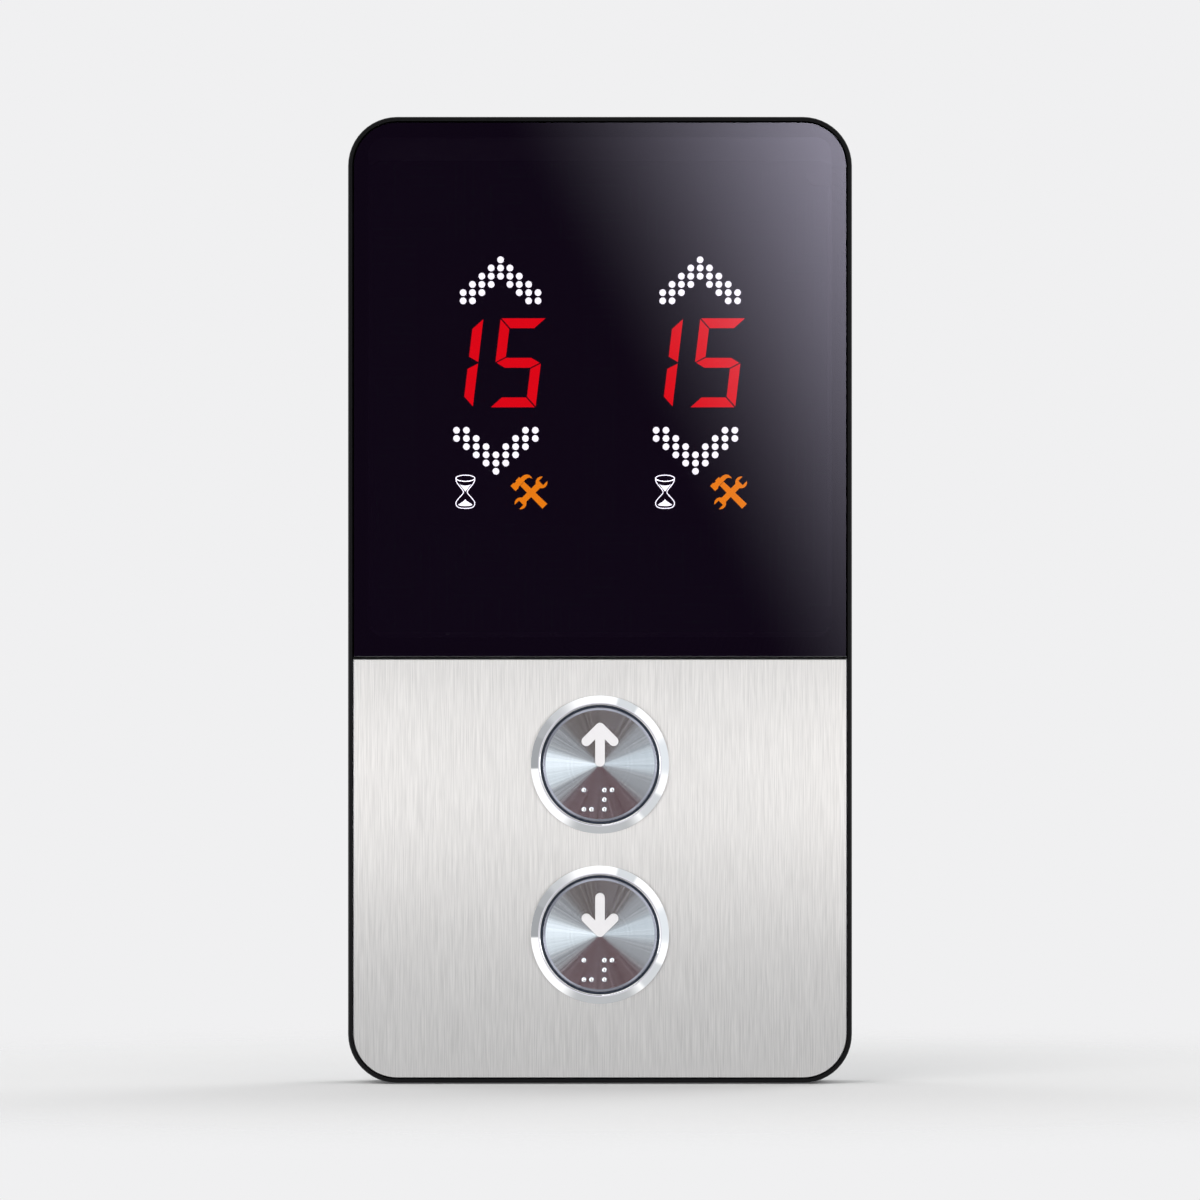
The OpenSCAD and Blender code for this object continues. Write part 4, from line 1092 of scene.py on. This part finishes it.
@dataclass(frozen=True)
class WindowCard:
    """Card that the window mirrors: dark violet, with a glow that grows to the upper right.

    Its sizes are those of its image on the panel's front, as the camera sees it.

    Attributes:
        half_w: Half its width.
        bottom: Height of its lower side.
        top: Height of its upper side.
        colour: Its colour as sRGB hex.
        tint: Red, green and blue of the glow.
        strength: Strength of the glow.
        way: Direction in which the glow grows, to the right and up.
        reach: Where along it the glow begins and where it is full.
        power: Power by which it grows.
    """
    half_w: float = 0.0745
    bottom: float = -0.0185
    top: float = 0.145
    colour: str = "#614576"
    tint: Triple = (0.94, 0.9, 1.12)
    strength: float = 6.3
    way: Point = (0.894, 0.447)
    reach: Point = (0.035, 0.119)
    power: float = 1.9

    def mask(self, tree: NodeTree, way: Source, distance: float) -> Node:
        """Marks the directions that the card covers.

        Args:
            tree: The world's tree.
            way: Direction of a ray.
            distance: From the camera to the panel's front.

        Returns:
            The node that gives 1 on the card and 0 beside it.
        """
        axes = add_node(tree, "ShaderNodeSeparateXYZ", {"Vector": way})
        side = add_node(tree, "ShaderNodeMath", {0: axes.outputs["X"]}, operation="ABSOLUTE")
        whole = 1.0
        for part, test, limit in ((side, "LESS_THAN", self.half_w),
                                  (axes.outputs["Z"], "GREATER_THAN", self.bottom),
                                  (axes.outputs["Z"], "LESS_THAN", self.top),
                                  (axes.outputs["Y"], "LESS_THAN", 0.0)):
            inside = add_node(tree, "ShaderNodeMath", {0: part, 1: limit / distance}, operation=test)
            whole = add_node(tree, "ShaderNodeMath", {0: whole, 1: inside}, operation="MULTIPLY")
        return whole

    def light(self, tree: NodeTree, way: Source, distance: float) -> Node:
        """Writes the colour of its light.

        Args:
            tree: The world's tree.
            way: Direction of a ray.
            distance: From the camera to the panel's front.

        Returns:
            The node that gives the colour.
        """
        along = add_node(tree, "ShaderNodeVectorMath", {0: way, 1: (self.way[0], 0, self.way[1])},
                         operation="DOT_PRODUCT")
        begin, full = (end / distance for end in self.reach)
        share = add_node(tree, "ShaderNodeMapRange", {"Value": along, "From Min": begin, "From Max": full})
        grown = add_node(tree, "ShaderNodeMath", {0: share, 1: self.power}, operation="POWER")
        tint = tuple(part * self.strength for part in self.tint)
        glow = add_node(tree, "ShaderNodeVectorMath", {0: tint, "Scale": grown}, operation="SCALE")
        return add_node(tree, "ShaderNodeVectorMath", {0: glow, 1: linear(self.colour)[:3]},
                        operation="ADD")


@dataclass(frozen=True)
class Lamp:
    """A soft rectangular lamp.

    Attributes:
        spot: Where it hangs.
        size: Its width and height.
        share: Share of full light that it gives a surface that faces it.
        mirrored: Whether polished surfaces show it.
        only: Objects that it lights, where it doesn't light all.
        spared: Objects that its light is kept off.
    """
    spot: Triple
    size: Point
    share: float
    mirrored: bool = False
    only: tuple[str, ...] = ()
    spared: tuple[str, ...] = ()

    def hang(self, name: str) -> None:
        """Hangs the lamp so that it looks at the middle of the panel.

        Args:
            name: Name of the lamp.
        """
        spot = Vector(self.spot)
        data = bpy.data.lights.new(name, "AREA")
        data.shape = "RECTANGLE"
        data.size, data.size_y = self.size
        # Full light makes a white surface that faces the lamp as bright as white
        data.energy = self.share * math.pi ** 2 * spot.length_squared
        hung = add_object(name, data)
        hung.location = spot
        hung.rotation_euler = (-spot).to_track_quat("-Z", "Y").to_euler()
        hung.visible_glossy = self.mirrored
        if self.only or self.spared:
            chosen = bpy.data.collections.new(f"{name}_receivers")
            hung.light_linking.receiver_collection = chosen
            for lit in self.only or self.spared:
                chosen.objects.link(frame["nodes"].get(lit) or bpy.data.objects[lit])
            for entry in chosen.collection_objects:
                entry.light_linking.link_state = "INCLUDE" if self.only else "EXCLUDE"


# What the two lamps close to the steel don't light
SPARED = ("display_window", "floor", "up_cap", "down_cap")


@dataclass
class Studio:
    """Camera, floor, lamps and surroundings.

    Attributes:
        distance: From the camera to the panel's front.
        view_w: Width that the picture shows at the panel's front.
        sensor: Width of the camera's sensor in millimetres.
        backdrop: Colour that the camera sees behind the panel.
        room: Colour of the even light.
        ambient: Strength of the even light.
        far_room: Colour of the room in reflections.
        far_level: Brightness of the room in reflections.
        floor_colour: Colour of the floor.
        floor_size: Width and depth of the floor.
        floor_clear: Gap under the panel.
        floor_fade: Where the floor begins to fade into the backdrop and where it is gone.
        scrim: Grey disc in front of the panel.
        wedges: Wedges on the scrim that the turned caps fan out.
        discs: Discs further out that the chrome rings show, and a soft one straight in front.
        window_card: Card that the window mirrors.
        lamps: Two lamps close to the panel that brighten the steel's upper part, one that gives
            each raised dot its highlight, and three that light the room.
    """
    distance: float = 2.5
    view_w: float = 0.3474
    sensor: float = 36.0
    backdrop: str = "#f0f0f1"
    room: str = "#fdfdfd"
    ambient: float = 0.72
    far_room: str = "#fafcff"
    far_level: float = 1.18
    floor_colour: str = "#e4e4e4"
    floor_size: float = 6.0
    floor_clear: float = 0.2 * MM
    floor_fade: Point = (0.13, 0.38)
    scrim: Card = Card(0, 0, 44, "#9d9fa1", 6)
    wedges: tuple[Card, ...] = (Card(91, 90, 46, "#5e534a", 6), Card(271, 90, 45, "#501417", 6),
                                Card(188, 90, 20, "#f2fbff", 3, 1.12),
                                Card(179, 90, 8, "#f4fbff", 7, 1.5), Card(2, 90, 14, "#e3edf3", 5))
    discs: tuple[Card, ...] = (Card(148, 60, 23, "#cfd1d4", 22), Card(159, 60, 16, "#b4b6b9", 8),
                               Card(171, 60, 12, "#a8aaad", 2), Card(6, 60, 12, "#ecf1f5", 10),
                               Card(272, 60, 25, "#c0c2c4", 16), Card(320, 60, 10, "#dadde0", 4),
                               Card(65, 60, 8, "#dfe3e6", 3), Card(345, 98, 24, "#30282a", 8),
                               Card(270, 1.5, 4, "#e3e1ea", 3))
    window_card: WindowCard = WindowCard()
    lamps: tuple[Lamp, ...] = (Lamp((-0.27, -0.33, -0.055), (0.2, 0.08), 0.069, True, spared=SPARED),
                               Lamp((0.27, -0.33, -0.055), (0.2, 0.08), 0.078, True, spared=SPARED),
                               Lamp((-0.3, -0.36, 0.0), (0.45, 0.6), 0.66, True,
                                    only=("up_touch_dots", "down_touch_dots")),
                               Lamp((-0.9, -1.6, 1.3), (1.3, 1.3), 0.30),
                               Lamp((1.4, 1.2, 1.1), (1.2, 1.2), 0.30),
                               Lamp((-1.5, 1.1, 0.5), (1.2, 1.2), 0.22))

    def set_up(self) -> None:
        """Sets up everything round the panel."""
        self.hang_camera()
        self.lay_floor()
        for number, lamp in enumerate(self.lamps):
            lamp.hang(f"soft_lamp_{number}")
        self.surround()

    def hang_camera(self) -> None:
        """Puts the camera square in front of the panel, as the photograph was framed."""
        low, high = CAD_BOX
        data = bpy.data.cameras.new("camera")
        data.sensor_width = self.sensor
        data.lens = self.sensor * self.distance / self.view_w
        camera = add_object("camera", data)
        camera.location = (0, -(high.y - low.y) - self.distance, (low.z + high.z) / 2)
        camera.rotation_euler = (math.pi / 2, 0, 0)
        bpy.context.scene.camera = camera

    def lay_floor(self) -> None:
        """Lays a pale, dull floor that fades into the backdrop and keeps the panel's shadow."""
        half, level = self.floor_size / 2, CAD_BOX[0].z - self.floor_clear
        mesh = bpy.data.meshes.new("floor")
        mesh.from_pydata([(-half, -half, level), (half, -half, level), (half, half, level),
                          (-half, half, level)], [], [(0, 1, 2, 3)])
        material = bpy.data.materials.new("pale_floor")
        material.use_nodes = True
        tree = material.node_tree
        shader = tree.nodes["Principled BSDF"]
        shader.inputs["Base Color"].default_value = linear(self.floor_colour)
        shader.inputs["Roughness"].default_value = 0.9
        shader.inputs["Specular IOR Level"].default_value = 0.1
        spot = add_node(tree, "ShaderNodeTexCoord").outputs["Object"]
        away = add_node(tree, "ShaderNodeVectorMath", {0: spot}, operation="LENGTH")
        fade = add_node(tree, "ShaderNodeMapRange", {"Value": away, "From Min": self.floor_fade[0],
                                                     "From Max": self.floor_fade[1]},
                        interpolation_type="SMOOTHSTEP")
        clear = add_node(tree, "ShaderNodeBsdfTransparent")
        add_node(tree, "ShaderNodeMixShader", {0: fade, 1: shader, 2: clear},
                 tree.nodes["Material Output"].inputs["Surface"])
        mesh.materials.append(material)
        floor = add_object("floor", mesh)
        floor.visible_glossy = False

    def surround(self) -> None:
        """Writes the world: even light, what reflections show, and the backdrop."""
        world = bpy.data.worlds.new("studio")
        world.use_nodes = True
        bpy.context.scene.world = world
        tree = world.node_tree
        tree.nodes.clear()
        path = add_node(tree, "ShaderNodeLightPath").outputs
        even = add_node(tree, "ShaderNodeBackground", {"Color": linear(self.room), "Strength": self.ambient})
        seen = add_node(tree, "ShaderNodeBackground", {"Color": self.reflections(tree)})
        plain = add_node(tree, "ShaderNodeBackground", {"Color": linear(self.backdrop)})
        # Light that the window's back face returns leaves by its front, so it counts as transmitted
        mirrored_ray = add_node(tree, "ShaderNodeMath", {0: path["Is Glossy Ray"],
                                                         1: path["Is Transmission Ray"]},
                                operation="MAXIMUM")
        inner = add_node(tree, "ShaderNodeMixShader", {0: mirrored_ray, 1: even, 2: seen})
        whole = add_node(tree, "ShaderNodeMixShader", {0: path["Is Camera Ray"], 1: inner, 2: plain})
        add_node(tree, "ShaderNodeOutputWorld", {"Surface": whole})

    def reflections(self, tree: NodeTree) -> Node:
        """Lays the cards over the pale room.

        Args:
            tree: The world's tree.

        Returns:
            The node that gives the colour for each direction.
        """
        way = add_node(tree, "ShaderNodeTexCoord").outputs["Generated"]
        flat = add_node(tree, "ShaderNodeVectorMath", {0: way, 1: (1, 0, 1)}, operation="MULTIPLY")
        around = add_node(tree, "ShaderNodeVectorMath", {0: flat}, operation="NORMALIZE")
        scrim = self.scrim.mask(tree, way)
        seen = add_node(tree, "ShaderNodeMix", {"Factor": scrim, "A": linear(self.far_room, self.far_level),
                                                "B": self.scrim.light()}, data_type="RGBA")
        for wedge in self.wedges:
            inside = add_node(tree, "ShaderNodeMath", {0: wedge.mask(tree, around), 1: scrim},
                              operation="MULTIPLY")
            seen = add_node(tree, "ShaderNodeMix", {"Factor": inside, "A": seen, "B": wedge.light()},
                            data_type="RGBA")
        # The wedges' colours belong to brushed and turned steel, so a sharp mirror shows greys
        sharp = add_node(tree, "ShaderNodeLightPath").outputs["Is Singular Ray"]
        grey = add_node(tree, "ShaderNodeRGBToBW", {"Color": seen})
        seen = add_node(tree, "ShaderNodeMix", {"Factor": sharp, "A": seen, "B": grey}, data_type="RGBA")
        for disc in self.discs:
            seen = add_node(tree, "ShaderNodeMix", {"Factor": disc.mask(tree, way), "A": seen,
                                                    "B": disc.light()}, data_type="RGBA")
        card = self.window_card
        return add_node(tree, "ShaderNodeMix", {"Factor": card.mask(tree, way, self.distance), "A": seen,
                                                "B": card.light(tree, way, self.distance)},
                        data_type="RGBA")


def main() -> None:
    """Builds and dresses everything, in order."""
    logging.basicConfig(level=logging.INFO, format="%(name)s: %(message)s")
    bpy.context.scene.view_settings.view_transform = "Standard"
    Studio().set_up()
    looks = dress_nodes()
    log.info("dressed %d nodes", len(frame["nodes"]))
    pieces = [ReturnSpring(button).build(looks["spring_steel"]) for button in ("up", "down")]
    white, orange = WHITE_SYMBOL.make(), ORANGE_SYMBOL.make()
    for side in ("left", "right"):
        pieces.append(SolderRows(side).build(looks["plated_steel"]))
        pieces.extend(DisplaySymbols(side).build(white, orange))
    for piece in pieces:
        log.info("%s with %d faces", piece.name, len(piece.data.polygons))


if __name__ == "__main__":
    main()
